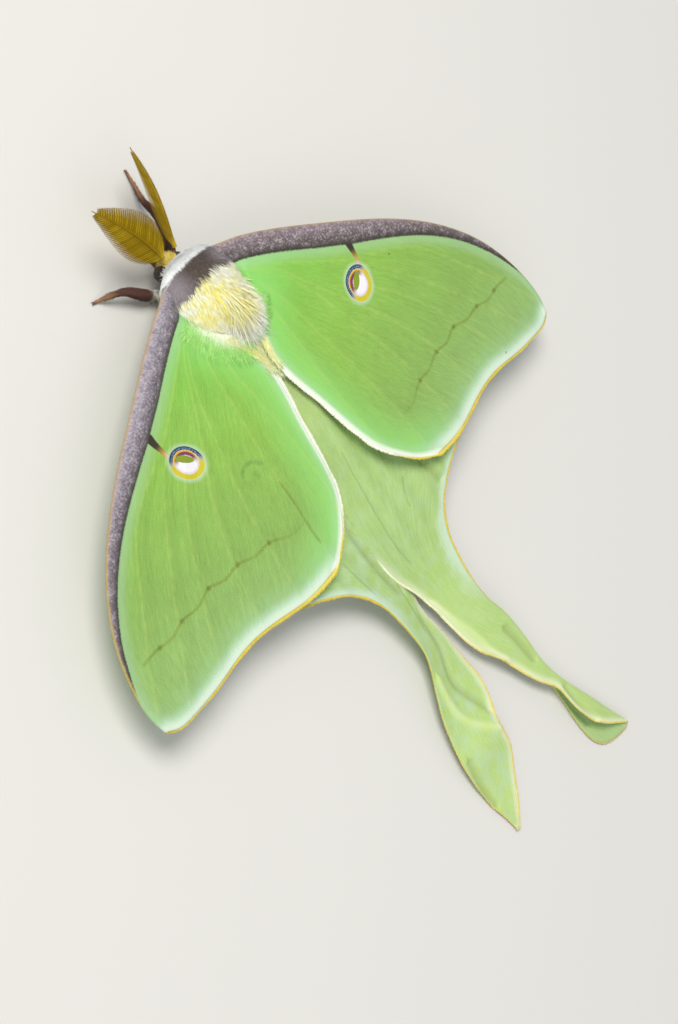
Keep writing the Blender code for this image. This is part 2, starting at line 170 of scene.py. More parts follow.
# the leading edge's mauve at its front and rear, the rear darker partly in its own colour and partly as
# painted shade of the rounded edge; the right side's is darker
COSTA_TONES = {"left": ((164, 156, 168), (102, 94, 100)), "right": ((142, 126, 132), (90, 80, 80))}
COOLNESS = {"left": 0.65, "right": 0.22}  # of the hindwings' bluish bloom
EYESPOT = {"left": (19.65, 19.1), "right": (19.45, 18.4)}
EYESPOT_LONG = (-0.76, 0.64)  # direction of its length
EYESPOT_SIZE = (2.6, 2.1)  # half length, half width
STALK = {"left": [(21.9, 13.8), (21.75, 14.8), (21.5, 16.1), (21.1, 17.4)],
         "right": [(22.0, 13.1), (21.9, 14.1), (21.7, 15.4), (21.1, 16.9)]}
HIND_EYESPOT = (15.0, 27.0)
HIND_EYESPOT_SIZE = (2.0, 1.8)
HINDWING_VEINS = [
    [(8.0, 9.5), (15.0, 18.5), (22.0, 28.0), (27.6, 33.0)],
    [(7.6, 10.0), (13.6, 21.0), (19.6, 32.0), (24.6, 39.4)],
    [(7.2, 10.6), (11.4, 24.0), (15.4, 35.0), (18.0, 42.8)],
    [(6.8, 11.0), (9.4, 26.0), (12.2, 38.0), (11.8, 46.2)],
    [(6.2, 11.4), (7.4, 26.0), (8.8, 38.0), (8.6, 47.0), (6.6, 54.0)],
    [(5.6, 11.8), (4.8, 26.0), (5.2, 38.0), (5.2, 47.0), (4.0, 56.0)],
    [(5.2, 12.2), (2.4, 26.0), (2.0, 38.0), (1.9, 46.0), (2.2, 56.0)],
]
# Fine creases, wide soft grooves and one low ridge, from a wing's middle into its tail. The grooves and
# ridge are shaped into the surface and the creases into its bump; in colour each crease and groove is
# darkened as painted shade, and the ridge lightened as a painted highlight
HIND_CREASES = {"left": [[(9.4, 42.0), (8.6, 46.0), (7.4, 50.5)],
                         [(2.7, 49.8), (3.5, 56.4), (4.4, 59.5)]],
                "right": [[(1.4, 30.0), (0.0, 41.5), (-0.3, 47.4), (1.2, 53.0)],
                          [(7.6, 40.6), (5.1, 43.9), (4.9, 45.4)]]}
HIND_GROOVES = {"left": [[(3.6, 36.0), (4.9, 41.0), (4.8, 46.0), (4.0, 50.0), (2.5, 54.0)],
                         [(1.8, 54.0), (2.9, 58.0), (3.4, 61.4), (5.2, 65.6), (4.2, 70.0),
                          (3.6, 72.6), (3.6, 75.2)],
                         [(11.0, 73.6), (11.7, 76.7), (11.9, 79.6), (11.9, 83.0)]],
                "right": [[(10.6, 40.6), (11.3, 43.1), (11.5, 46.0)],
                          [(6.0, 65.4), (6.4, 67.4), (6.8, 69.9), (7.1, 73.8)],
                          [(8.6, 77.8), (8.3, 82.4), (8.8, 86.6)]]}
HIND_RIDGES = {"left": [(7.0, 62.0), (7.9, 66.4), (7.8, 70.2), (6.9, 72.1), (5.3, 74.0), (3.5, 76.3)],
               "right": [(-0.4, 55.0), (0.7, 60.0), (2.0, 65.1), (2.6, 68.0), (4.4, 71.6)]}


# ---------------------------------------------------------------- curves and surfaces
def natural_cubic(knots, values):
    """The smooth function through values at knots, with no bend at its two ends."""
    knots = np.array(knots, float)
    values = np.array(values, float).reshape(len(knots), -1)
    steps = np.diff(knots)
    count = len(knots)
    system = np.eye(count)
    slopes = np.diff(values, axis=0) / steps[:, None]
    wanted = np.zeros_like(values)
    for i in range(1, count - 1):
        system[i, i - 1 : i + 2] = steps[i - 1], 2 * (steps[i - 1] + steps[i]), steps[i]
        wanted[i] = 6 * (slopes[i] - slopes[i - 1])
    bends = np.linalg.solve(system, wanted)

    def function(at):
        at = np.asarray(at, float)
        i = np.clip(np.searchsorted(knots, at) - 1, 0, count - 2)
        h = steps[i][..., None]
        a = (knots[i + 1] - at)[..., None] / h
        b = (at - knots[i])[..., None] / h
        curved = ((a**3 - a) * bends[i] + (b**3 - b) * bends[i + 1]) * h * h / 6
        return a * values[i] + b * values[i + 1] + curved

    return function


def lengths_along(points):
    """The length of a polyline up to each of its points."""
    return np.concatenate([[0.0], np.cumsum(np.linalg.norm(np.diff(points, axis=0), axis=1))])


def smooth_curve(points):
    """A curve through the points, as a function of the share 0 to 1 of its length."""
    points = np.array(points, float)
    knots = lengths_along(points)
    return natural_cubic(knots / knots[-1], points)


def resampled(at, knots, values):
    """Rows of values, one to each knot, read at new places."""
    return np.stack([np.interp(at, knots, column) for column in np.asarray(values).T], axis=-1)


def coons(root, far, lead, trail, s, t):
    """Points at s by t of the surface spanned by four edges that meet at their corners."""
    u, v = s[:, None, None], t[None, :, None]
    near, beyond, front, back = root(t)[None], far(t)[None], lead(s)[:, None], trail(s)[:, None]
    corners = (1 - u) * ((1 - v) * root(0.0) + v * root(1.0)) + u * ((1 - v) * far(0.0) + v * far(1.0))
    return (1 - u) * near + u * beyond + (1 - v) * front + v * back - corners


def step(value, low, high):
    """A smooth step from 0 at low to 1 at high."""
    share = np.clip((np.asarray(value, float) - low) / (high - low), 0, 1)
    return share * share * (3 - 2 * share)


def unit(vectors):
    return vectors / np.maximum(np.linalg.norm(vectors, axis=-1, keepdims=True), 1e-9)


def bell(distance, width):
    """1 at no distance, falling smoothly away over width."""
    return np.exp(-((distance / width) ** 2))


def from_line(points, line, samples=160):
    """For a grid of 2-D points, signed distances from a curve and the shares along it."""
    shape = points.shape[:-1]
    points = points.reshape(-1, 2)
    curve = smooth_curve(line)(np.linspace(0, 1, samples))
    a, way = curve[:-1], np.diff(curve, axis=0)
    length = np.linalg.norm(way, axis=1)
    best = np.full(len(points), 1e9)
    signed = np.zeros(len(points))
    share = np.zeros(len(points))
    for k in range(len(way)):
        rel = points - a[k]
        along = np.clip(rel @ way[k] / length[k] ** 2, 0, 1)
        gap = np.linalg.norm(rel - along[:, None] * way[k], axis=1)
        closer = gap < best
        side = np.sign(way[k][0] * rel[:, 1] - way[k][1] * rel[:, 0])
        best[closer] = gap[closer]
        signed[closer] = (gap * np.where(side == 0, 1, side))[closer]
        share[closer] = (k + along[closer]) / len(way)
    return signed.reshape(shape), share.reshape(shape)


def ended_line(points, line, fade=0.5):
    """Distance from a curve, growing as its two ends are passed."""
    signed, share = from_line(points, line, 60)
    past = np.abs(share - 0.5)
    return np.abs(signed) + fade * step(past, 0.36, 0.5) + 2 * (past > 0.499)


# ---------------------------------------------------------------- meshes
def grid_faces(rows, columns):
    corner = (np.arange(rows - 1)[:, None] * columns + np.arange(columns - 1)).ravel()
    return np.stack([corner, corner + 1, corner + columns + 1, corner + columns], axis=1)


def smooth_normals(points, faces):
    """Vertex normals, weighted by face area."""
    total = np.zeros_like(points)
    for group in faces:
        corners = points[group]
        across = np.cross(corners[:, 2] - corners[:, 0], corners[:, -1] - corners[:, 1])
        for k in range(group.shape[1]):
            np.add.at(total, group[:, k], across)
    return unit(total)


def fill_mesh(mesh, points, faces):
    """The mesh's points and its groups of triangles or quads. Returns its list of corners."""
    sizes = np.concatenate([np.full(len(group), group.shape[1]) for group in faces])
    loops = np.concatenate([group.ravel() for group in faces]).astype(np.int32)
    starts = np.concatenate([[0], np.cumsum(sizes)[:-1]]).astype(np.int32)
    mesh.vertices.add(len(points))
    mesh.vertices.foreach_set("co", ((points - ORIGIN) * MM).astype(np.float32).ravel())
    mesh.loops.add(len(loops))
    mesh.loops.foreach_set("vertex_index", loops)
    mesh.polygons.add(len(sizes))
    mesh.polygons.foreach_set("loop_start", starts)
    mesh.update(calc_edges=True)
    mesh.shade_smooth()
    return loops


def linked(name, data):
    item = bpy.data.objects.new(name, data)
    bpy.context.scene.collection.objects.link(item)
    return item


def make_piece(name, points, faces, material, slot, attributes=(), normals=None, patches=None):
    """A mesh of layout points and groups of triangles or quads, riding on the one body."""
    mesh = bpy.data.meshes.new(name)
    loops = fill_mesh(mesh, points, faces)
    for label, values in dict(attributes).items():
        values = np.asarray(values, np.float32)
        kind, field = ("FLOAT_VECTOR", "vector") if values.ndim == 2 else ("FLOAT", "value")
        mesh.attributes.new(label, kind, "POINT").data.foreach_set(field, values.ravel())
    if normals is not None:
        mesh.normals_split_custom_set_from_vertices(normals.tolist())
    if patches is not None:
        layer = mesh.uv_layers.new(name="OFBake")
        layer.data.foreach_set("uv", patches[loops].astype(np.float32).ravel())
    mesh.materials.append(material)
    piece = linked(name, mesh)
    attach(piece, "root")
    return piece


def rim_faces(rows, columns):
    """Quads that join the border of a grid to the border of its twin below."""
    top = np.arange(columns)
    right = np.arange(1, rows) * columns + columns - 1
    bottom = (rows - 1) * columns + np.arange(columns - 2, -1, -1)
    left = np.arange(rows - 2, 0, -1) * columns
    loop = np.concatenate([top, right, bottom, left])
    after = np.roll(loop, -1)
    count = rows * columns
    return np.stack([after, loop, loop + count, after + count], axis=1)


def shell(middle, up, down):
    """Points and faces of a closed sheet around a grid of points, up above it and down below."""
    rows, columns = middle.shape[:2]
    normal = unit(np.cross(np.gradient(middle, axis=0), np.gradient(middle, axis=1)))
    normal *= np.where(normal[..., 2:].mean() < 0, -1, 1)
    points = np.concatenate([(middle + normal * up[..., None]).reshape(-1, 3),
                             (middle - normal * down[..., None]).reshape(-1, 3)])
    top = grid_faces(rows, columns)
    faces = [np.concatenate([top, top[:, ::-1] + rows * columns, rim_faces(rows, columns)])]
    first = points[top[0]]
    if np.cross(first[1] - first[0], first[3] - first[0]) @ normal[0, 0] < 0:
        faces = [group[:, ::-1] for group in faces]
    return points, faces, normal


def lock_faces(count, segments, corners):
    """Faces of tufts whose points are rings, root to tip, and then one point at the tip."""
    stride = segments * corners + 1
    base = (np.arange(count) * stride)[:, None]
    quads, triangles = [], []
    for c in range(corners):
        d = (c + 1) % corners
        for k in range(0, (segments - 1) * corners, corners):
            quads.append(base + np.array([k + c, k + d, k + corners + d, k + corners + c]))
        k = (segments - 1) * corners
        triangles.append(base + np.array([k + c, k + d, stride - 1]))
    if corners == 3:
        triangles.append(base + np.array([2, 1, 0]))
    return [np.concatenate(group) for group in (quads, triangles) if group]


def locks(roots, first, last, lengths, widths, flats, segments=3, corners=3, keep=0.6):
    """Tapering tufts: each leaves its root along first and ends along last.

    flats is the direction across each tuft's flat side; widths its full width at the root, and
    keep the tuft's thickness as a share of its width. Returns points, faces, and for every point
    its tuft, its share along it and its place across it, -1 to 1.
    """
    count = len(roots)
    shares = np.linspace(0, 1, segments + 1)
    reach = lengths[:, None]
    spine = [roots + reach * (s * (1 - s / 2) * first + s * s / 2 * last) for s in shares]
    flats = unit(flats - (flats * first).sum(1, keepdims=True) * first)
    thick = unit(np.cross(first, flats))
    angles = ROUND * (np.arange(corners) + 0.25) / corners
    sections = []
    for centre, share in zip(spine[:-1], shares):
        half = (widths * (1 - 0.85 * share**1.5) / 2)[:, None]
        for angle in angles:
            sections.append(centre + half * (math.cos(angle) * flats + math.sin(angle) * keep * thick))
    points = np.stack([*sections, spine[-1]], axis=1)
    along = np.concatenate([np.repeat(shares[:-1], corners), [1.0]])
    across = np.concatenate([np.tile(np.cos(angles), segments), [0.0]])
    return (points.reshape(-1, 3), lock_faces(count, segments, corners),
            np.repeat(np.arange(count), points.shape[1]), np.tile(along, count), np.tile(across, count))


def make_tufts(name, material, slot, roots, first, last, lengths, widths, flats, shade, unwrap,
               fields=(), **shape):
    """A coat piece. shade is the skin's normal at each root, unwrap its place on the skin's map."""
    points, faces, tuft, along, across = locks(roots, first, last, lengths, widths, flats, **shape)
    points[:, 2] = np.maximum(points[:, 2], FLOOR_GAP)
    normals = unit(smooth_normals(points, faces) * 0.55 + shade[tuft])
    tone = np.random.default_rng(SEED).random(len(roots))[tuft]
    attributes = {"place": roots[tuft], "along": along, "tone": tone}
    attributes.update({label: values[tuft] for label, values in dict(fields).items()})
    spread = np.stack([across, along * 2 - 1], axis=1) * PATCH / 2
    patches = unwrap[tuft] * (1 - 2 * PATCH) + PATCH + spread
    return make_piece(name, points, faces, material, slot, attributes, normals, patches)


# ---------------------------------------------------------------- material nodes
def linear(colour):
    """A colour given as 0 to 255 display values, in the renderer's own linear ones."""
    shares = [channel / 255 for channel in colour]
    return (*[c / 12.92 if c <= 0.04045 else ((c + 0.055) / 1.055) ** 2.4 for c in shares], 1.0)


class Value:
    """A number or vector in a material's node tree, with arithmetic."""

    def __init__(self, graph, socket):
        self.graph = graph
        self.socket = socket

    def math(self, operation, *others):
        return self.graph.node("ShaderNodeMath", (self, *others), operation=operation)

    def __add__(self, other):
        return self.math("ADD", other)

    def __sub__(self, other):
        return self.math("SUBTRACT", other)

    def __mul__(self, other):
        return self.math("MULTIPLY", other)

    def __truediv__(self, other):
        return self.math("DIVIDE", other)

    __radd__ = __add__
    __rmul__ = __mul__

    def __rsub__(self, other):
        return self.math("MULTIPLY", -1.0).math("ADD", other)

    def size(self):
        return self.math("ABSOLUTE")

    def least(self, other):
        return self.math("MINIMUM", other)

    def most(self, other):
        return self.math("MAXIMUM", other)

    def rise(self, low, high):
        """A smooth step from 0 at low to 1 at high."""
        return self.graph.node("ShaderNodeMapRange", (self, low, high, 0.0, 1.0),
                               interpolation_type="SMOOTHSTEP")

    def fall(self, low, high):
        """A smooth step from 1 at low to 0 at high."""
        return 1.0 - self.rise(low, high)

    def frayed(self, noise, width):
        """The value shifted to and fro by a noise, over width in all."""
        return self + (noise - 0.5) * width

    def split(self):
        node = self.graph.raw("ShaderNodeSeparateXYZ", (self,))
        return [Value(self.graph, socket) for socket in node.outputs]


class Graph:
    """A material's node tree, written as arithmetic."""

    def __init__(self, name):
        self.material = bpy.data.materials.new(name)
        self.material.use_nodes = True
        self.nodes = self.material.node_tree.nodes
        self.links = self.material.node_tree.links
        self.shader = self.nodes["Principled BSDF"]

    def feed(self, slot, value):
        if isinstance(value, Value):
            self.links.new(value.socket, slot)
        else:
            slot.default_value = value

    def raw(self, kind, values=(), inputs=(), **settings):
        """A node with its first inputs fed from values, and others by name."""
        node = self.nodes.new(kind)
        for label, setting in settings.items():
            setattr(node, label, setting)
        for slot, value in zip(node.inputs, values):
            self.feed(slot, value)
        for label, value in dict(inputs).items():
            self.feed(node.inputs[label], value)
        return node

    def node(self, kind, values=(), **settings):
        return Value(self, self.raw(kind, values, **settings).outputs[0])

    def attribute(self, label):
        return Value(self, self.raw("ShaderNodeAttribute", attribute_name=label).outputs["Fac"])

    def place(self, label="place"):
        return Value(self, self.raw("ShaderNodeAttribute", attribute_name=label).outputs["Vector"])

    def distance(self, place, point):
        node = self.raw("ShaderNodeVectorMath", (place, point), operation="DISTANCE")
        return Value(self, node.outputs["Value"])

    def noise(self, place, size, detail=2.0):
        """Cloudy noise, about 0.25 to 0.75, with spots about size across."""
        inputs = {"Vector": place, "Scale": 1 / size, "Detail": detail}
        return Value(self, self.raw("ShaderNodeTexNoise", inputs=inputs).outputs["Fac"])

    def mix(self, share, first, second, blend="MIX"):
        node = self.raw("ShaderNodeMix", data_type="RGBA", blend_type=blend)
        for slot, value in ((0, share), (6, first), (7, second)):
            self.feed(node.inputs[slot], linear(value) if isinstance(value, tuple) else value)
        return Value(self, node.outputs[2])

    def layers(self, colour, *coats):
        """colour with others laid over it in turn, each by its share."""
        for share, coat in coats:
            colour = self.mix(share, colour, coat)
        return colour

    def ramp(self, value, stops):
        node = self.raw("ShaderNodeValToRGB", (value,))
        elements = node.color_ramp.elements
        while len(elements) < len(stops):
            elements.new(0.5)
        for element, (at, colour) in zip(elements, stops):
            element.position = at
            element.color = linear(colour)
        return Value(self, node.outputs[0])

    def shaded(self, colour, amount):
        """colour made lighter or darker by amount, a number near 1."""
        grey = self.node("ShaderNodeCombineXYZ", (amount, amount, amount))
        return self.mix(1.0, colour, grey, "MULTIPLY")

    def finish(self, colour, height=None, rise=0.02, roughness=0.6, sheen=0.0, tint=(255, 255, 255),
               specular=0.3):
        """colour and a bump of the given rise in millimetres, on the material's shader."""
        settings = {"Base Color": colour, "Roughness": roughness, "Specular IOR Level": specular,
                    "Sheen Weight": sheen, "Sheen Roughness": 0.4, "Sheen Tint": linear(tint)}
        for label, value in settings.items():
            self.feed(self.shader.inputs[label], value)
        if height is not None:
            inputs = {"Strength": 1.0, "Distance": rise * MM, "Height": height}
            bump = self.raw("ShaderNodeBump", inputs=inputs)
            self.links.new(bump.outputs[0], self.shader.inputs["Normal"])
        return self.material


def mottled(graph, colour, grain, flow, strength=1.0):
    """colour with the wing's fine scales, its streaks along the veins and its soft patches."""
    fine = graph.noise(grain, 0.15, 1.0)
    streaks = graph.noise(flow, 0.5, 3.0)
    hairs = graph.noise(flow, 0.15, 1.0)
    patches = graph.noise(grain, 4.0, 2.0)
    amount = (fine - 0.5) * 0.4 + (streaks - 0.5) * 0.3 + (hairs - 0.5) * 0.34 + (patches - 0.5) * 0.2
    return graph.shaded(colour, 1.0 + amount * strength), fine, streaks


def eyespot(graph, colour, place, centre, size, grain):
    """An eyespot's rings over colour, from the dark arc nearest the body to the yellow one."""
    x, y, _ = place.split()
    dx, dy = x - centre[0], y - centre[1]
    a, b = EYESPOT_LONG
    u = (dx * a + dy * b) / size[0]
    v = (dx * b - dy * a) / size[1]
    r = (u * u + v * v).math("SQRT")
    depth = (1.0 - r).frayed(grain, 0.12)
    near = (v + u * 0.3).fall(-0.34, 0.16)  # 1 on the side nearest the body
    far = 1.0 - near
    inside = r.fall(0.96, 1.03)
    lens = (u + 0.12) * (u + 0.12) * 3.4 + (v + 0.2) * (v + 0.2) * 20.0
    orange = graph.mix(grain.rise(0.4, 0.6), (206, 142, 30), (232, 196, 60))

    def ring(at, low, high):
        """1 along a ring inside the spot's rim, by the share of the way in."""
        return (depth - at).size().fall(low, high)

    return graph.layers(
        colour,
        (r.fall(1.0, 1.3) * 0.55, (196, 222, 192)),
        (r.fall(0.95, 1.04), (238, 236, 240)),
        (ring(0.42, 0.1, 0.16) * near, (126, 62, 82)),
        (lens.fall(0.8, 1.15), (134, 152, 42)),
        (ring(0.29, 0.03, 0.07) * near, orange),
        (ring(0.37, 0.02, 0.1) * far * 0.45, (206, 170, 194)),
        (depth.fall(0.28, 0.36) * inside * far, (204, 192, 52)),
        (depth.fall(0.2, 0.25) * inside * near, (24, 40, 56)),
        (ring(0.13, 0.02, 0.07) * near * grain.rise(0.35, 0.6) * 0.9, (116, 158, 196)),
    )


def nearest(values):
    result = values[0].size()
    for value in values[1:]:
        result = result.least(value.size())
    return result


def forewing_green(g, grain, y, edges, band, span, vein, cloud):
    """The wing's green, with its fine grain, from the vivid root to the white of its margins."""
    _, outer, inner = edges
    green = g.ramp(span, [(0.0, (128, 198, 74)), (0.16, (136, 194, 82)), (0.45, (140, 186, 78)),
                          (0.75, (138, 176, 88)), (0.95, (148, 184, 108))])
    green, fine, streaks = mottled(g, green, grain, g.place("flow"))
    vivid = (streaks + cloud * 0.4).rise(0.62, 0.82) * span.fall(0.04, 0.4)
    beyond = y.rise(11.5, 14.5)
    green = g.layers(
        green,
        (vivid * 0.8, (108, 196, 40)),
        (inner.fall(0.5, 8.0) * 0.7, (148, 220, 118)),
        (vein.fall(0.05, 0.45) * cloud.rise(0.3, 0.65) * 0.22, (190, 208, 110)),
        (band.frayed(fine, 1.4).fall(0.1, 2.0) * 0.5, (172, 208, 166)),
        (outer.frayed(cloud, 2.4).fall(0.9, 5.0) * 0.5, (158, 200, 152)),
        (outer.frayed(fine, 1.3).frayed(streaks, 0.8).fall(0.9, 2.8) * 0.8, (198, 226, 202)),
        (outer.frayed(fine, 1.2).fall(0.7, 1.9), (214, 231, 208)),
        (inner.frayed(cloud, 0.8).fall(0.6, 2.6) * beyond * 0.5, (176, 218, 170)),
        (inner.frayed(fine, 0.6).fall(0.55, 1.25) * beyond, (236, 244, 226)),
        (outer.fall(0.45, 0.62), (208, 192, 90)),
    )
    return green, fine, streaks


def forewing_lines(g, side, colour, place, line, y, cloud, fine):
    """The scalloped line with its spots, the small marks that one wing has and not the other, and on the
    left a dark line of painted shade along a crease.
    """
    colour = g.mix(line * (0.1 + cloud * 0.75), colour, (116, 126, 36))
    for spot in CROSS_SPOTS:
        away = g.distance(place, (*spot, 0.0)).frayed(fine, 0.6)
        colour = g.mix(away.fall(0.1, 0.5) * 0.6, colour, (104, 104, 34))
    if side == "right":
        for speck in SPECKS:
            away = g.distance(place, (*speck, 0.0))
            colour = g.mix(away.fall(0.04, 0.26) * 0.6, colour, (80, 96, 44))
        return colour
    away = g.distance(place, SMUDGE).frayed(cloud, 0.5)
    ring = ((away - 1.9).size().fall(0.0, 0.5) * y.fall(25.2, 27.0)).most(away.fall(0.2, 1.3) * 0.7)
    # painted shade: a dark line along the left wing's crease
    crease = g.attribute("crease").fall(0.04, 0.34)
    return g.layers(colour, (ring * cloud.rise(0.3, 0.6) * 0.45, (74, 124, 74)),
                    (crease * 0.5, (92, 110, 40)))


def eyespot_stalk(g, colour, stalk, share):
    """The dark stem from the leading edge to the eyespot, thinning and paling towards it."""
    stem = (stalk.size() - (1.0 - share) * (1.0 - share) * 0.35).fall(0.2, 0.38)
    dark = g.mix(share.rise(0.3, 0.75), (58, 50, 44), (190, 156, 66))
    dark = g.mix(share.rise(0.5, 0.95) * stalk.size().fall(0.06, 0.2), dark, (212, 168, 184))
    return g.mix(stem, colour, dark)


def costa_mauve(g, side, grain, costa, band, span, cloud):
    """The leading edge's mauve, frosted with pale and dark scales, with a thin pale rim. It darkens
    towards its rear, partly in its own colour and partly as painted shade of the rounded edge.
    """
    front, rear = COSTA_TONES[side]
    speckle = g.noise(grain, 0.3, 6.0)
    frost = speckle.frayed(g.noise(grain, 1.1, 3.0), 0.7)
    return g.layers(
        # front to rear: partly the band's own colour, partly painted shade of the rounded edge's rear
        # slope
        g.mix((band / 3.0 + cloud * 0.5).rise(-0.85, 0.1), front, rear),
        (frost.rise(0.4, 0.85) * 0.75, (196, 186, 190)),
        (frost.fall(0.2, 0.55) * 0.5, (86, 72, 76)),
        # the darkest strip, at the band's rear edge, is partly painted shade
        (band.frayed(speckle, 0.7).rise(-0.8, -0.1) * 0.8, (58, 52, 44)),
        (costa.frayed(speckle, 0.3).fall(0.02, 0.34) * 0.75,
         g.mix(span.rise(0.5, 1.0), (184, 150, 96), (216, 196, 92))),
    )


def forewing_material(side):
    """Green with a mauve leading edge, an eyespot on its stalk, and a thin scalloped line."""
    g = Graph(f"forewing_{side}")
    place, grain = g.place(), g.place("grain")
    y = place.split()[1]
    edges = g.place("edges").split()
    band, cross, stalk = g.place("lines").split()
    ends, stalk_share, span = g.place("shares").split()
    vein = nearest(g.place("veins_a").split() + g.place("veins_b").split() + [g.attribute("vein_last")])
    cloud = g.noise(grain, 1.4)
    green, fine, streaks = forewing_green(g, grain, y, edges, band, span, vein, cloud)
    line = cross.size().frayed(fine, 0.45).fall(0.02, 0.34) * ends
    colour = forewing_lines(g, side, green, place, line, y, cloud, fine)
    colour = eyespot_stalk(g, colour, stalk, stalk_share)
    colour = eyespot(g, colour, place, EYESPOT[side], EYESPOT_SIZE, fine)
    mauve = costa_mauve(g, side, grain, edges[0], band, span, cloud)
    colour = g.layers(colour, (band.frayed(fine, 0.4).fall(-0.1, 0.1), mauve),
                      (g.attribute("under") * 0.35, (190, 214, 160)))
    height = fine * 0.8 + streaks * 1.3 + vein.fall(0.0, 0.3) * 0.5
    return g.finish(colour, height, rise=0.03, roughness=0.62, sheen=0.22, tint=(235, 255, 215))


def hindwing_material(side):
    """Paler green running out into the tail, white inside its edge and ochre along it."""
    g = Graph(f"hindwing_{side}")
    place, grain = g.place(), g.place("grain")
    lead, trail, reach = g.place("edges").split()
    crease, groove, fold = g.place("lines").split()
    cloud = g.noise(grain, 1.6)
    green = g.ramp(reach, [(0.0, (190, 208, 132)), (0.25, (170, 202, 122)), (0.45, (168, 200, 126)),
                           (0.6, (176, 206, 124)), (0.8, (184, 212, 130)), (1.0, (188, 214, 128))])
    green, fine, streaks = mottled(g, green, grain, g.place("flow"), 0.8)
    green = g.layers(
        green,
        (streaks.rise(0.45, 0.7) * 0.22, (196, 212, 120)),
        (g.noise(grain, 2.2, 6.0).rise(0.36, 0.7) * COOLNESS[side], (188, 216, 178)),
        (cloud.rise(0.3, 0.8) * 0.3, (176, 206, 112)),
        # painted shade: olive darkening along each groove
        (groove.fall(0.0, 1.1) * 0.42, (146, 158, 92)),
        # painted highlight along the ridge
        (fold.fall(0.1, 1.2) * 0.45, (226, 240, 164)),
        # painted shade: a fine dark line along each crease
        (crease.fall(0.02, 0.3) * 0.25, (110, 136, 70)),
        (lead.frayed(cloud, 2.0).fall(0.6, 3.6) * reach.fall(0.56, 0.68) * 0.75, (208, 230, 214)),
        (trail.frayed(fine, 0.5).fall(0.2, 1.6) * reach.rise(0.4, 0.52) * 0.8, (234, 240, 204)),
        (lead.fall(0.35, 0.55).most(trail.fall(0.1, 0.3) * reach.rise(0.6, 0.68)), (222, 212, 104)),
    )
    colour = eyespot(g, green, place, HIND_EYESPOT, HIND_EYESPOT_SIZE, fine)
    # painted shade: the underside darkened, for where the right tail's folded-under leaf shows it from
    # above
    colour = g.mix(g.attribute("under") * 0.5, colour, (158, 188, 132))
    height = fine * 0.9 + streaks * 1.6 - crease.fall(0.0, 0.3) * 1.5
    return g.finish(colour, height, rise=0.035, roughness=0.64, sheen=0.2, tint=(240, 255, 220))


def make_fringe_material():
    g = Graph("fringe")
    along, tone, hue = g.attribute("along"), g.attribute("tone"), g.attribute("hue")
    frayed = along.frayed(tone, 0.4)
    ochre = g.mix(frayed.rise(0.05, 0.5), (232, 222, 120), (222, 198, 70))
    white = g.mix(frayed.rise(0.5, 1.0), (248, 250, 238), (244, 240, 196))
    colour = g.mix(hue, white, ochre)
    colour = g.mix(hue.fall(-0.9, 0.1), colour, (166, 198, 122))
    colour = g.shaded(colour, (0.9 + tone * 0.24).frayed(g.noise(g.place(), 0.8), 0.3))
    return g.finish(colour, roughness=0.7, sheen=0.15)


# ---------------------------------------------------------------- wings
def wing_attributes(middle, along, across, fields):
    """Fields over a grid of points, repeated for the sheet's two sides."""
    shape = middle.shape[:2]
    level = (middle[..., 0], middle[..., 1], np.zeros(shape))
    flow = (along[:, None] / STREAK, across[None], np.zeros(shape))
    doubled = {}
    for label, values in {"place": level, "grain": level, "flow": flow, **fields}.items():
        values = np.stack(np.broadcast_arrays(*values), axis=-1) if isinstance(values, tuple) else values
        flat = values.reshape(shape[0] * shape[1], *values.shape[2:])
        doubled[label] = np.concatenate([flat, flat])
    count = shape[0] * shape[1]
    doubled["under"] = np.repeat([0.0, 1.0], count)
    for label in ("grain", "flow"):
        doubled[label][count:, 2] += UNDERSIDE_SHIFT
    return doubled


def fringe(name, slot, border, outward, normal, reach, hue, spacing=0.064, layers=3):
    """Hair-like scales along a wing's border, leaning along it."""
    rng = np.random.default_rng(SEED)
    length = lengths_along(border)
    count = int(length[-1] / spacing)
    at = (np.arange(count * layers) / layers + rng.random(count * layers) * 0.8) * spacing
    at = np.clip(at, 0, length[-1])
    root, out, lift, way = (resampled(at, length, values)
                            for values in (border, outward, normal, np.gradient(border, axis=0)))
    out, lift, way = unit(out), unit(lift), unit(way)
    lean = rng.normal(0.25, 0.22, (len(at), 1))
    layer = (np.arange(len(at)) % layers)[:, None] / layers - 0.3
    first = unit(out + lean * way + lift * (0.12 - 0.2 * layer))
    last = unit(out + (lean + rng.normal(0, 0.15, lean.shape)) * way - lift * 0.08)
    root = root - out * 0.25 + lift * layer * 0.1
    ripple = 1 + 0.1 * np.sin(at * 0.9) + 0.06 * np.sin(at * 1.7 + 1.0)
    size = (np.interp(at, length, reach) * ripple + 0.25) * rng.uniform(0.88, 1.08, len(at))
    width = rng.uniform(0.13, 0.19, len(at))
    lift = lift * np.where(lift[:, 2:] < 0, -1.0, 1.0)
    low, high = root.min(0), root.max(0)
    unwrap = ((root - low) / (high - low).max())[:, :2]
    make_tufts(name, FRINGE, slot, root, first, last, size, width, way, lift, unwrap,
               {"hue": np.interp(at, length, hue)}, segments=3, keep=0.3)


def around(grid, first, leading, inside=0):
    """A wing's values along its free border, or some steps inside it.

    They run out along the leading edge from row first, if leading, then across the tip and back.
    """
    ahead = [grid[first:, inside]] if leading else []
    tip = grid[-1 - inside, int(leading) : -1]
    return np.concatenate([*ahead, tip, grid[first:, -1 - inside][::-1]])


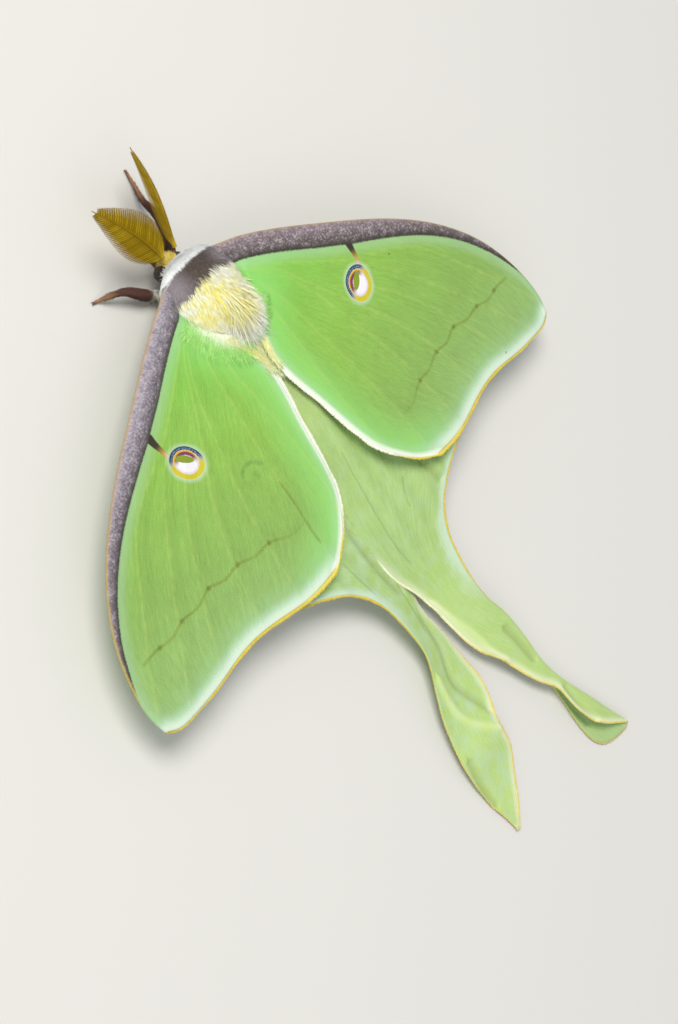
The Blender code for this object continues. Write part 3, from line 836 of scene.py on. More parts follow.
def wing_fringe(name, slot, side, middle, normal, first, leading, reach, hue, shown):
    """A fringe that points straight out of a wing's free border, where shown."""
    border = around(middle, first, leading)
    out = unit(border - around(middle, first, leading, 3))
    for _ in range(6):
        out[1:-1] = unit(out[:-2] + out[1:-1] + out[2:])
    lines = (line[shown] * MIRROR[side] for line in (border, out, around(normal, first, leading)))
    fringe(name, slot, *lines, reach[shown], hue[shown])


def mirror_mesh(points, faces, side):
    """The left side's points and faces, or their mirror image on the right."""
    if side == "left":
        return points, faces
    return points * MIRROR[side], [group[:, ::-1] for group in faces]


def thinned(inside):
    """The share of its thickness that a sheet has so far inside its edge."""
    return np.sqrt(np.clip(inside, 0.03, EDGE_ROUNDING) / EDGE_ROUNDING)


def pleated(middle, near, width, where):
    """Sinks a surface between its veins, and returns the rise of the veins themselves."""
    middle[..., 2] -= PLEAT * step(near, 0.1, width) * where
    return VEIN_RISE * bell(near, VEIN_WIDTH) * where


def forewing_middle(s, t):
    """The forewing's middle surface, run on in a straight line inside the thorax."""
    edges = [smooth_curve(e) for e in (FOREWING_ROOT, FOREWING_OUTER, FOREWING_COSTA, FOREWING_INNER)]
    inside = np.minimum(s, 0.0)[:, None, None]
    flat = coons(*edges, np.maximum(s, 0.0), t)
    start = coons(*edges, np.array([0.0, 0.01]), t)
    flat = flat + inside * (start[1] - start[0])[None] / 0.01
    arch = COSTA_ARCH * np.sin(math.pi * np.clip(s, 0, 1))[:, None] * (1 - t) ** 2
    height = WING_HEIGHT - WING_DROOP * flat[..., 0] + arch - ROOT_SINK * step(s, 0.06, -0.035)[:, None]
    return np.concatenate([flat, height[..., None]], axis=-1)


def forewing_grid():
    """Points over the forewing, each row ending the same distance from the inner margin."""
    rows, columns = FORE_GRID
    s = np.linspace(-ROOT_REACH / FORE_LENGTH, 1 - MARGIN / FORE_REACH, rows)
    t = np.linspace(0.0, 1.0, columns)
    costa, inner = (smooth_curve(edge)(np.clip(s, 0, 1)) for edge in (FOREWING_COSTA, FOREWING_INNER))
    widths = np.linalg.norm(costa - inner, axis=1)
    knots = np.linspace(0, 1, 4 * columns)
    whole = forewing_middle(s, knots)
    middle = [resampled(t * (1 - MARGIN / width), knots, row) for width, row in zip(widths, whole)]
    return s, t, np.stack(middle)


def forewing(side):
    s, t, middle = forewing_grid()
    flat = middle[..., :2].copy()
    costa, costa_share = from_line(flat, FOREWING_COSTA, 240)
    costa, outer, inner = (np.abs(edge) for edge in (costa, from_line(flat, FOREWING_OUTER)[0],
                                                     from_line(flat, FOREWING_INNER)[0]))
    width = np.interp(costa_share, *zip(*BAND_WIDTH))
    veins = [from_line(flat, vein)[0] for vein in FOREWING_VEINS]
    near = np.min(np.abs(veins), axis=0)
    ridge = pleated(middle, near, 2.2, step(costa - width, -0.3, 1.5) * step(outer, 0.3, 2.5))
    tube = np.sin(math.pi * np.clip(costa / np.maximum(width, 0.9), 0, 1)) ** 0.8
    tube *= COSTA_LIFT * np.clip(width / 3.2, 0.25, 1)
    edge = thinned(np.minimum(outer, inner) - MARGIN + 0.06) * thinned(costa + 0.05)
    points, faces, normal = shell(middle, (MEMBRANE + ridge) * edge + tube,
                                  (MEMBRANE + ridge * 0.7) * edge + tube * 0.5)
    cross, share = from_line(flat, CROSS_LINE, 60)
    stalk, stalk_share = from_line(flat, STALK[side], 40)
    ends = step(share * (1 - share), 0.0, 0.03) * (1 - 0.6 * step(share, 0.75, 0.95))
    fields = {
        "edges": (costa, outer, inner),
        "lines": (costa - width, cross, stalk),
        "shares": (ends, stalk_share, s[:, None]),
        "veins_a": tuple(veins[:3]), "veins_b": tuple(veins[3:6]), "vein_last": veins[6],
        "crease": ended_line(flat, FORE_CREASE),
    }
    points, faces = mirror_mesh(points, faces, side)
    WING_TOPS[side] = points[: len(s) * len(t)]
    fields = wing_attributes(middle, s * FORE_LENGTH, t * FORE_BREADTH, fields)
    piece = make_piece(f"wing_fore_{side}", points, faces, forewing_material(side), "forewing", fields)
    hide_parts(f"forewing_{side}")
    share = np.concatenate([np.zeros(len(t) - 1), np.linspace(0, 1, len(s))])
    wing_fringe(f"fringe_fore_{side}", "forewing", side, middle, normal, 0, False,
                0.34 + 0.16 * step(share, 0.05, 0.3), 1 - step(share, 0.08, 0.25), share < 0.9)


def tail_section(lines, side, share, t):
    """A cross-section of the tail, rounded over its middle line, or nearly creased on the right."""
    section = [lines[name](share) for name in ("outer", "middle", "inner")]
    rounded = natural_cubic([0, 0.5, 1], section)(t)
    sharp = 0.7 * step(share, 0.55, 0.7) if side == "right" else 0.0
    return rounded * (1 - sharp) + resampled(t, [0, 0.5, 1], section) * sharp


def hindwing_middle(side, rows, t):
    """The hindwing and its tail as one surface, from the wing's root to the tail's tip."""
    lead, trail = smooth_curve(HINDWING_LEADING), smooth_curve(HINDWING_TRAILING[side])
    lines = {name: smooth_curve(points) for name, points in TAIL_LINES[side].items()}
    across = t[None, :, None]
    share = np.linspace(0, 0.96, NECK)
    wing = (1 - across) * lead(share)[:, None] + across * trail(share)[:, None]
    tail = [tail_section(lines, side, share, t) for share in np.linspace(0.04, 1, NECK)]
    whole = np.concatenate([wing, np.stack(tail)])
    knots = lengths_along(whole.mean(axis=1))
    function = natural_cubic(knots, whole.reshape(len(whole), -1))
    at = np.linspace(-ROOT_REACH, knots[-1] - MARGIN, rows)
    start = function(np.array([0.0, 0.2]))
    middle = function(np.maximum(at, 0.0))
    middle += np.minimum(at, 0.0)[:, None] * (start[1] - start[0]) / 0.2
    return middle.reshape(rows, len(t), 3), at, (knots[NECK] + knots[NECK - 1]) / 2


def hindwing_grid(side):
    """Points over the hindwing and tail, its rows' widths, and where its rows and neck lie."""
    rows, columns = HIND_GRID
    t = np.linspace(0, 1, columns)
    whole, at, neck = hindwing_middle(side, rows, np.linspace(0, 1, 3 * columns))
    middle = np.empty((rows, columns, 3))
    width = np.empty((rows, 1))
    for r in range(rows):
        run = lengths_along(whole[r])
        inset = min(MARGIN, 0.3 * run[-1])
        wanted = inset + t * (run[-1] - inset - min(inset, HEM_INSET))
        middle[r] = resampled(wanted, run, whole[r])
        width[r] = run[-1]
    return middle, t, width, at, neck


def hindwing_pieces(side, points, faces, fields, border):
    """The wing and the tail as two pieces, which meet along one row of points without a seam."""
    rows, columns = HIND_GRID
    normals = smooth_normals(points, faces)
    material = hindwing_material(side)
    row = (np.arange(len(points)) % (rows * columns)) // columns
    cut = border * columns + np.arange(columns - 1)
    cap = np.stack([cut, cut + 1, cut + 1 + rows * columns, cut + rows * columns], axis=1)
    for name, node, kept in (("hind", "hindwing", row <= border), ("tail", "tail", row >= border)):
        numbers = np.cumsum(kept) - 1
        group = faces[0][kept[faces[0]].all(axis=1)]
        lid = cap if (name == "hind") == (side == "left") else cap[:, ::-1]
        piece = make_piece(f"wing_{name}_{side}", points[kept], [numbers[group], numbers[lid]],
                           material, "hindwing", {k: v[kept] for k, v in fields.items()},
                           normals[kept])
        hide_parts(f"{node}_{side}")


def hindwing(side):
    """The hindwing and its tail, with their creases, grooves and fringe."""
    middle, t, width, at, neck = hindwing_grid(side)
    flat = middle[..., :2].copy()
    y = flat[..., 1]
    end = (at[-1] + MARGIN - at)[:, None]
    lead = np.minimum(t * width + MARGIN, end)
    trail = np.minimum((1 - t) * width + HEM_INSET, end)
    near = np.min([np.abs(from_line(flat, vein)[0]) for vein in HINDWING_VEINS], axis=0)
    ridge = pleated(middle, near, 1.6, step(at, neck, neck - 10)[:, None])
    crease, groove, fold = (np.min([ended_line(flat, line, 1.3) for line in lines], axis=0)
                            for lines in (HIND_CREASES[side], HIND_GROOVES[side], [HIND_RIDGES[side]]))
    if side == "right":
        rolled = step(y, 24.0, 30.0) * step(y, 55.0, 50.0)
        middle[..., 2] -= HEM_ROLL * bell(trail, HEM_ROLL_WIDTH) * rolled
    middle[..., 2] += RIDGE_HEIGHT * bell(fold, FOLD_WIDTH) - GROOVE_DEPTH * bell(groove, FOLD_WIDTH)
    middle[..., 2] = np.maximum(middle[..., 2], MEMBRANE + 0.05)
    thickness = (MEMBRANE + ridge) * thinned(np.minimum(lead, trail) - MARGIN + 0.06)
    points, faces, normal = shell(middle, thickness, thickness)
    reach = np.clip(at / at[-1], 0, 1)[:, None]
    fields = {"edges": (lead, trail, reach), "lines": (crease, groove, fold)}
    fields = wing_attributes(middle, at, t * HIND_BREADTH, fields)
    points, faces = mirror_mesh(points, faces, side)
    hindwing_pieces(side, points, faces, fields, int(np.searchsorted(at, neck)))
    first = int(np.searchsorted(at, 6.0))
    along = around(np.broadcast_to(at[:, None], y.shape), first, True)
    inner = np.arange(len(along)) >= len(along) - (len(at) - first)
    late = step(along, neck + 2, neck + 12)
    hue = 1 - 0.6 * inner * (1 - late) - 0.15 * late
    hue = hue - 1.4 * inner * step(around(y, first, True), HEM_PALE[1], HEM_PALE[0])
    reach = np.where(inner, 0.12 + 0.1 * late, 0.42 - 0.2 * step(along, neck - 6, neck + 6))
    wing_fringe(f"fringe_hind_{side}", "hindwing", side, middle, normal, first, True, reach, hue,
                slice(None))


WING_TOPS = {}  # points of each forewing's upper side
FRINGE = make_fringe_material()
for side in SIDES:
    forewing(side)
    hindwing(side)


# ---------------------------------------------------------------- body, legs and antennae
# Stations from front to rear: y, half width, top and bottom
HEAD = [(-1.15, 0.0, 3.5, 3.5), (-1.0, 0.9, 4.4, 2.6), (-0.3, 1.6, 5.0, 1.9),
        (0.6, 1.85, 5.1, 1.6), (1.6, 1.8, 4.8, 1.6), (3.2, 1.8, 4.8, 1.6)]
HOOD = [(0.05, 1.2, 6.9, 5.9), (0.3, 3.0, 8.1, 5.4), (0.9, 4.4, 8.7, 4.6), (1.6, 5.2, 9.1, 3.6),
        (2.3, 5.7, 9.3, 2.6), (4.0, 6.1, 9.8, 2.0), (6.0, 6.0, 10.0, 1.9), (8.0, 5.5, 9.8, 1.9),
        (9.5, 4.9, 9.2, 1.8), (11.0, 4.0, 8.3, 1.7), (12.6, 3.2, 7.1, 1.5)]
ABDOMEN = [(9.0, 2.6, 5.6, 1.5), (12.9, 3.0, 6.0, 1.2), (15.0, 3.4, 6.2, 0.5), (19.0, 3.5, 6.2, 0.0),
           (24.0, 3.3, 5.9, -0.2), (28.0, 2.7, 5.1, -0.2), (31.0, 1.9, 4.1, -0.1),
           (32.6, 1.0, 3.1, 0.6), (33.1, 0.0, 1.9, 1.9)]
ABDOMEN_SEGMENT = 2.6
ABDOMEN_RIPPLE = 0.035
PALP = [(-1.75, 0.1, 2.9, 2.7), (-1.5, 0.32, 3.15, 2.5), (-0.9, 0.42, 3.4, 2.5), (0.2, 0.4, 3.3, 2.4)]
PALP_OFFSET = 0.55
# How far the skin lies inside its nodes, which its coat then fills
COAT_DEPTH = {"head": 0.3, "hood": 0.55, "abdomen": 0.45, "palp": 0.0, "leg": 0.1}
FAN_HAIRS = 2400
FAN_CENTRE = np.array([0.0, 6.2])
FAN_RADIUS = 5.4  # from that centre to the fan's first roots
FAN_SHAPE = np.array([0.94, 1.08])  # how far the fan is stretched across and along the moth
FAN_TURN = {"left": 84.0, "right": 56.0}  # degrees to either side that the fan spreads
FAN_REACH = {"left": 3.4, "right": 1.9}  # how far from the thorax its hairs still start
HEM_HAIRS = 900
GAP_HAIRS = 1300
GAP_HEIGHT = 7.5
GAP_START = 11.0
GAP_LENGTH = 8.5
WING_HAIR_LENGTH = 2.2
WING_HAIR_RISE = 0.04  # of its roots above the wing
SKY_LIGHT = 0.9  # how far a hair's shading leans from the skin's own towards straight up
VOXEL = 0.12
BODY_START = -2.0
BODY_END = 34.0
BODY_AXIS = 4.0  # height of the line that the body's map is unrolled round
LEG_AXIS = 1.5  # and the legs'
EYE_GRID = (40, 56)
LEG_RADII = [0.65, 0.75, 0.7, 0.5, 0.36, 0.28]
LEG_PATHS = {
    "foreleg_left": [(2.3, 2.3, 1.1), (4.7, 0.9, 1.9), (6.9, -0.9, 2.2), (8.1, -1.5, 1.5),
                     (9.0, -1.9, 0.55), (10.1, -2.2, 0.22)],
    "foreleg_right": [(2.4, 2.3, 1.1), (3.1, -1.4, 2.3), (4.5, -5.0, 2.6), (5.0, -7.7, 1.7),
                      (5.9, -9.4, 0.9), (7.0, -12.1, 0.22)],
    "midleg_left": [(2.7, 5.6, 1.0), (6.0, 6.2, 2.6), (8.6, 7.8, 3.0), (9.6, 9.6, 1.6),
                    (10.6, 11.6, 0.6), (12.2, 14.0, 0.22)],
    "midleg_right": [(2.7, 5.6, 1.0), (6.4, 4.9, 2.6), (9.2, 5.4, 3.0), (10.2, 6.8, 1.6),
                     (11.3, 8.6, 0.6), (12.9, 10.4, 0.22)],
    "hindleg_left": [(2.6, 9.0, 0.9), (5.9, 10.6, 2.4), (7.9, 12.6, 2.8), (8.6, 14.8, 1.5),
                     (9.4, 17.0, 0.6), (10.8, 19.6, 0.22)],
    "hindleg_right": [(2.6, 9.0, 0.9), (6.1, 10.4, 2.4), (8.2, 12.0, 2.8), (9.2, 14.0, 1.5),
                      (10.4, 16.0, 0.6), (12.2, 18.2, 0.22)],
}
ANTENNA_LENGTH = 13.5
ANTENNA_HALF_WIDTH = 2.8
ANTENNA_BOW = 0.5
ANTENNA_CURVE = 0.5
ANTENNA_BASE = (1.25, -1.05, 5.7)
ANTENNA_WAY = {"left": (7.45, -10.15, 4.8), "right": (2.9, -12.95, 1.95)}
ANTENNA_LEAN = math.radians(39)
BARBS = 34
BARB_LEAN = math.radians(36)  # of a barb towards the antenna's tip
BARB_SPAN = 0.93  # share of the stem that has barbs
BARB_WIDTH = 0.36
BARB_HAIRS = 22  # along each side of a barb
BARB_HAIR_WIDTH = 0.06
ANTENNA_STEM = ([0, 0.1, 0.5, 1.0], [0.3, 0.26, 0.17, 0.06])  # its radius, by share of its length
FOOT_JOINTS = np.linspace(0.7, 0.96, 6)  # where along a leg
CLAW_LENGTH = 0.42
CLAW_WIDTH = 0.14


def loft(rings):
    """Points and faces of a closed skin over rings of equal count, fanned shut at both ends."""
    rings = np.asarray(rings, float)
    rows, count = rings.shape[:2]
    points = np.concatenate([rings.reshape(-1, 3), rings[:1].mean(1), rings[-1:].mean(1)])
    a = (np.arange(rows - 1)[:, None] * count + np.arange(count)).ravel()
    b = (np.arange(rows - 1)[:, None] * count + (np.arange(count) + 1) % count).ravel()
    quads = np.stack([a, b, b + count, a + count], axis=1)
    c, d = np.arange(count), (np.arange(count) + 1) % count
    last = (rows - 1) * count
    first = np.stack([d, c, np.full(count, rows * count)], axis=1)
    end = np.stack([c + last, d + last, np.full(count, rows * count + 1)], axis=1)
    return points, [quads, np.concatenate([first, end])]


def body_loft(stations, inset, offset=0.0, ripple=0.0, rings=60, sides=48):
    """A stretch of the body over its stations, kept inset below its coat's outline."""
    profile = smooth_curve(stations)(np.linspace(0, 1, rings))
    angles = ROUND * np.arange(sides) / sides
    result = []
    for y, half_width, top, bottom in profile:
        groove = abs(math.sin(math.pi * y / ABDOMEN_SEGMENT)) ** 0.6
        half_width = max(half_width * (1 + ripple * (groove - 0.7)) - inset, 0.05)
        half_height = max((top - bottom) / 2 * (1 + ripple * (groove - 0.7)) - inset, 0.05)
        ring = np.stack([offset + half_width * np.cos(angles), np.full(sides, y),
                         (top + bottom) / 2 + half_height * np.sin(angles)], axis=1)
        ring[:, 2] = np.maximum(ring[:, 2], BELLY_GAP)
        result.append(ring)
    return loft(result)


def leg_path(name):
    side = SIDES[name.split("_")[1]]
    return smooth_curve([(side * x, y, z) for x, y, z in LEG_PATHS[name]])


def tube(path, radius, stations, sides, knots=()):
    """A round limb along a path, thickened a little at each of its joints."""
    shares = np.linspace(0, 1, stations)
    centres = path(shares)
    ahead = unit(np.gradient(centres, axis=0))
    across = unit(np.cross(ahead, UP + np.array([0.01, 0.0, 0.0])))
    lift = np.cross(across, ahead)
    angles = (ROUND * (np.arange(sides) + 0.5) / sides)[:, None]
    rings = []
    for k in range(stations):
        r = radius(shares[k])
        for knot in knots:
            r *= 1 + 0.16 * bell(shares[k] - knot, 0.018)
        ring = centres[k] + r * (np.cos(angles) * across[k] + np.sin(angles) * lift[k])
        ring[:, 2] = np.maximum(ring[:, 2], FOOT_GAP)
        rings.append(ring)
    return loft(rings)


def join(parts):
    """Several points-and-faces pairs as one."""
    points, quads, triangles, start = [], [], [], 0
    for part_points, groups in parts:
        points.append(part_points)
        for group in groups:
            (quads if group.shape[1] == 4 else triangles).append(group + start)
        start += len(part_points)
    faces = [np.concatenate(group) for group in (quads, triangles) if group]
    return np.concatenate(points), faces


def fused(points, faces, voxel, smoothing):
    """One closed skin around overlapping parts, as points and quads, in layout units."""
    mesh = bpy.data.meshes.new("fused")
    mesh.from_pydata(points.tolist(), [], [f for group in faces for f in group.tolist()])
    source = linked("fused", mesh)
    remesh = source.modifiers.new("remesh", "REMESH")
    remesh.mode = "VOXEL"
    remesh.voxel_size = voxel
    relax = source.modifiers.new("relax", "SMOOTH")
    relax.factor = 0.5
    relax.iterations = smoothing
    result = bpy.data.meshes.new_from_object(source.evaluated_get(bpy.context.evaluated_depsgraph_get()))
    points = np.empty(len(result.vertices) * 3, np.float32)
    result.vertices.foreach_get("co", points)
    corners = np.empty(len(result.loops), np.int32)
    result.loops.foreach_get("vertex_index", corners)
    bpy.data.objects.remove(source)
    bpy.data.meshes.remove(result)
    bpy.data.meshes.remove(mesh)
    return points.reshape(-1, 3).astype(float), [corners.reshape(-1, 4)]


def limb_fields(points):
    """How much each point is on a leg, its share along it, its height across it, the leg's number."""
    fields = np.zeros((4, len(points)))
    radius = natural_cubic(np.linspace(0, 1, len(LEG_RADII)), LEG_RADII)
    shares = np.linspace(0, 1, 60)
    for index, name in enumerate(LEG_PATHS):
        centres = leg_path(name)(shares)
        gaps = np.linalg.norm(points[:, None] - centres[None], axis=2) - radius(shares)[:, 0]
        best = gaps.argmin(axis=1)
        gap = gaps[np.arange(len(points)), best]
        share = shares[best]
        on = step(gap, 0.4, 0.12) * step(share, 0.06, 0.16)
        lift = (points[:, 2] - centres[best, 2]) / radius(share)[:, 0]
        closer = on > fields[0]
        fields[:, closer] = np.stack([on, share, lift, np.full(len(points), index)])[:, closer]
    return fields


def thorax_colour(g, place, cloud, fine):
    """White collar, mauve band with a scalloped edge, then yellow paling to the rear.

    Each edge lies forward of where it shows, by the length of the hair that hangs over it.
    """
    x, y, z = place.split()
    wide = x.size()
    edge = (fine - 0.5) * 0.9
    collar = g.mix(cloud.rise(0.35, 0.65), (232, 236, 234), (248, 251, 248))
    mauve = g.mix(wide.fall(1.2, 4.2), (142, 134, 138), (82, 71, 62))
    mauve = g.mix(fine.rise(0.4, 0.65) * 0.3, mauve, (116, 106, 108))
    deep = ((x - 1.5) * (x - 1.5) * 0.15 + (y - 6.2) * (y - 6.2) * 0.18).fall(0.2, 2.4)
    yellow = g.layers(
        g.mix(cloud.rise(0.36, 0.62), (255, 252, 190), (255, 255, 232)),
        (deep * fine.rise(0.4, 0.6), (252, 238, 112)),
        ((wide + y * 0.2 + edge).rise(5.6, 7.2) * 0.8, (250, 253, 240)),
        ((y - x * 0.5).rise(8.0, 11.0) * 0.85, (250, 253, 242)),
    )
    collar_edge = y + edge * 0.4 - wide * 0.08 - (wide - 3.2).most(0.0) * 0.3
    collar_edge = collar_edge - (6.8 - z).most(0.0) * 0.4
    scallop = y + edge * 0.6 - (x * 2.1).math("COSINE") * 0.12 - wide * 0.13
    return g.layers(collar, (collar_edge.rise(0.75, 1.0) * z.rise(5.2, 6.2), mauve),
                    (scallop.rise(3.05, 3.35), yellow))


def leg_colour(g, share, lift):
    """Dark brown, paler on the upper side of the foot."""
    return g.layers(
        g.mix(lift.rise(-0.2, 0.5), (84, 60, 62), (98, 66, 56)),
        (share.rise(0.6, 0.74) * lift.rise(-0.1, 0.5) * 0.7, (176, 132, 92)),
        (share.rise(0.92, 1.0) * 0.6, (100, 60, 48)),
    )


def body_colour(g, place, limb):
    """The body's markings by place, used alike by its skin and its coat."""
    _, y, z = place.split()
    on_leg, share, lift = limb.split()
    cloud = g.noise(place, 1.1)
    fine = g.noise(place, 0.35)
    banding = (y * (ROUND / ABDOMEN_SEGMENT)).math("SINE").rise(0.2, 1.0)
    belly = g.mix(cloud.rise(0.4, 0.6), (226, 220, 196), (244, 242, 222))
    belly = g.mix(banding * 0.25, belly, (214, 200, 150))
    face = g.mix(cloud.rise(0.4, 0.6), (216, 190, 84), (244, 226, 130))
    face = g.mix(z.fall(3.0, 4.4), face, (112, 82, 54))
    colour = g.layers(
        thorax_colour(g, place, cloud, fine),
        (y.rise(13.0, 15.5), belly),
        (z.fall(3.2, 5.0) * y.rise(1.2, 2.4), belly),
        (y.fall(0.9, 1.3) * z.fall(4.9, 5.3), face),
        (on_leg, leg_colour(g, share, lift)),
    )
    return colour, cloud, fine


def skin_material():
    g = Graph("skin")
    colour, cloud, fine = body_colour(g, g.place(), g.place("limb"))
    colour = g.shaded(colour, 0.92 + fine * 0.3)
    return g.finish(colour, fine + cloud, rise=0.08, roughness=0.75, sheen=0.1)


def coat_material():
    g = Graph("coat")
    colour, _, _ = body_colour(g, g.place(), g.place("limb"))
    # painted shade: each tuft a little darker at its root than at its tip, as deep in the coat; its tone
    # also varies at random
    colour = g.shaded(colour, 0.9 + g.attribute("tone") * 0.2 + g.attribute("along") * 0.12)
    return g.finish(colour, roughness=0.7, sheen=0.25)


def build_skin():
    """The head, thorax, abdomen and legs in one skin, lying inside their nodes by the coat's depth."""
    radius = natural_cubic(np.linspace(0, 1, len(LEG_RADII)), LEG_RADII)
    parts = [body_loft(HEAD, COAT_DEPTH["head"]), body_loft(HOOD, COAT_DEPTH["hood"]),
             body_loft(ABDOMEN, COAT_DEPTH["abdomen"], ripple=ABDOMEN_RIPPLE, rings=120)]
    for side in SIDES.values():
        parts.append(body_loft(PALP, COAT_DEPTH["palp"], side * PALP_OFFSET, sides=16, rings=16))
    for name in LEG_PATHS:
        parts.append(tube(leg_path(name), lambda s: radius(s)[0] - COAT_DEPTH["leg"], stations=120,
                          sides=20, knots=FOOT_JOINTS))
    points, faces = fused(*join(parts), VOXEL, smoothing=6)
    limbs = limb_fields(points)
    skin = make_piece("skin", points, faces, skin_material(), "white_hair",
                      {"place": points, "limb": limbs[:3].T})
    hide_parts("head", "collar", "thorax", "abdomen", *LEG_PATHS)
    return points, faces[0], smooth_normals(points, faces), limbs


def scatter(skin, count, density, seed):
    """Random roots on the skin: their points, normals, and the numbers of their nearest points."""
    points, quads, normals = skin[:3]
    rng = np.random.default_rng(seed)
    corners = points[quads]
    area = np.linalg.norm(np.cross(corners[:, 2] - corners[:, 0], corners[:, 3] - corners[:, 1]), axis=1)
    chance = area * density[quads[:, 0]]
    pick = rng.choice(len(quads), count, p=chance / chance.sum())
    u, v = rng.random((2, count, 1))
    blend = [(1 - u) * (1 - v), u * (1 - v), u * v, (1 - u) * v]
    root = sum(w * points[quads[pick, k]] for k, w in enumerate(blend))
    normal = unit(sum(w * normals[quads[pick, k]] for k, w in enumerate(blend)))
    return root, normal, quads[pick, 0], rng


def laid(normal, way, lift):
    """way turned into the surface's plane, then raised from it by lift, a tangent."""
    flat = unit(way - (way * normal).sum(1, keepdims=True) * normal)
    return unit(flat + normal * lift)


def unrolled(root, height):
    """The turn of each place, 0 to 1, round a line that runs along the body at a height."""
    return (np.arctan2(root[:, 2] - height, root[:, 0]) / ROUND + 0.5) % 1.0


def body_unwrap(root, near):
    """A place on a map of the body, unrolled round its length."""
    along = (root[:, 1] - BODY_START) / (BODY_END - BODY_START)
    return np.stack([unrolled(root, BODY_AXIS), np.clip(along, 0, 1)], axis=1)


def coat(name, slot, skin, material, count, density, way, lift, length, width, seed,
         unwrap=body_unwrap, droop=0.2, segments=3, keep=0.55, shaded_from=-0.5):
    """Tufts over part of the skin. way, lift and length are functions of the root, or values."""
    root, normal, near, rng = scatter(skin, count, density, seed)
    direction = way(root, rng, near)
    raised = (lift(root)[:, None] if callable(lift) else lift) * rng.uniform(0.7, 1.3, (count, 1))
    first = laid(normal, direction, raised)
    last = laid(normal, direction + rng.normal(0, 0.12, (count, 3)), raised * 0.3 - droop)
    size = (length(root) if callable(length) else length) * rng.uniform(0.75, 1.15, count)
    wide = width * rng.uniform(0.75, 1.25, count)
    shade = normal + SKY_LIGHT * step(normal[:, 2:], shaded_from, shaded_from + 0.6) * UP
    make_tufts(name, material, slot, root - normal * 0.05, first, last, size, wide,
               np.cross(normal, direction), unit(shade), unwrap(root, near),
               {"limb": limb_fields(root)[:3].T}, segments=segments, keep=keep)


def backwards(spread, jitter, sink=0.0):
    """A lie that runs towards the tails, spreading to the sides and sinking round them."""

    def way(root, rng, near):
        side = np.clip(root[:, 0] / 6.0, -1, 1)
        direction = np.stack([spread * side, np.ones(len(root)), -sink * np.abs(side)], axis=1)
        return direction + rng.normal(0, jitter, (len(root), 3))

    return way


def swept(root, rng, near):
    """The collar's lie: up the front of the thorax, then back over it and down its sides."""
    front = step(root[:, 1:2], 1.4, 0.4) * np.array([0.0, 0.0, 1.0])
    return backwards(0.7, 0.2, 0.5)(root, rng, near) + front


def forwards(root, rng, near):
    """The head's lie: down over the face, but up and forwards in a crest between the feelers."""
    crest = step(root[:, 2], 4.0, 4.9)
    direction = np.stack([0.25 * root[:, 0], 0.4 - 1.3 * crest, 0.5 * crest - 0.5], axis=1)
    return direction + rng.normal(0, 0.25, (len(root), 3))


def along_legs(skin):
    """A lie that runs down each leg to its claws."""

    def way(root, rng, near):
        share, number = skin[3][1][near], skin[3][3][near]
        direction = np.zeros((len(root), 3))
        for index, name in enumerate(LEG_PATHS):
            path = leg_path(name)
            on = number == index
            direction[on] = path(np.minimum(share[on] + 0.03, 1)) - path(np.maximum(share[on] - 0.03, 0))
        return unit(direction) + rng.normal(0, 0.2, (len(root), 3))

    return way


def leg_unwrap(skin):
    """A place on a map of the legs, side by side."""

    def unwrap(root, near):
        number, along = skin[3][3][near], skin[3][1][near]
        return np.stack([(number + unrolled(root, LEG_AXIS)) / len(LEG_PATHS), along], axis=1)

    return unwrap


def trimmed(root):
    """Shorter hair on the left of the thorax, towards the rear."""
    return 1 - 0.42 * step(root[:, 0], -0.5, 2.2) * step(root[:, 1], 3.5, 8.0)


def clear_of_eyes(points):
    """0 on an eye's surface, rising to 1 just outside it."""
    centre, radius = EYE
    away = np.min([np.linalg.norm(points - centre * MIRROR[side], axis=1) for side in SIDES], axis=0)
    return step(away, radius + 0.02, radius + 0.2)


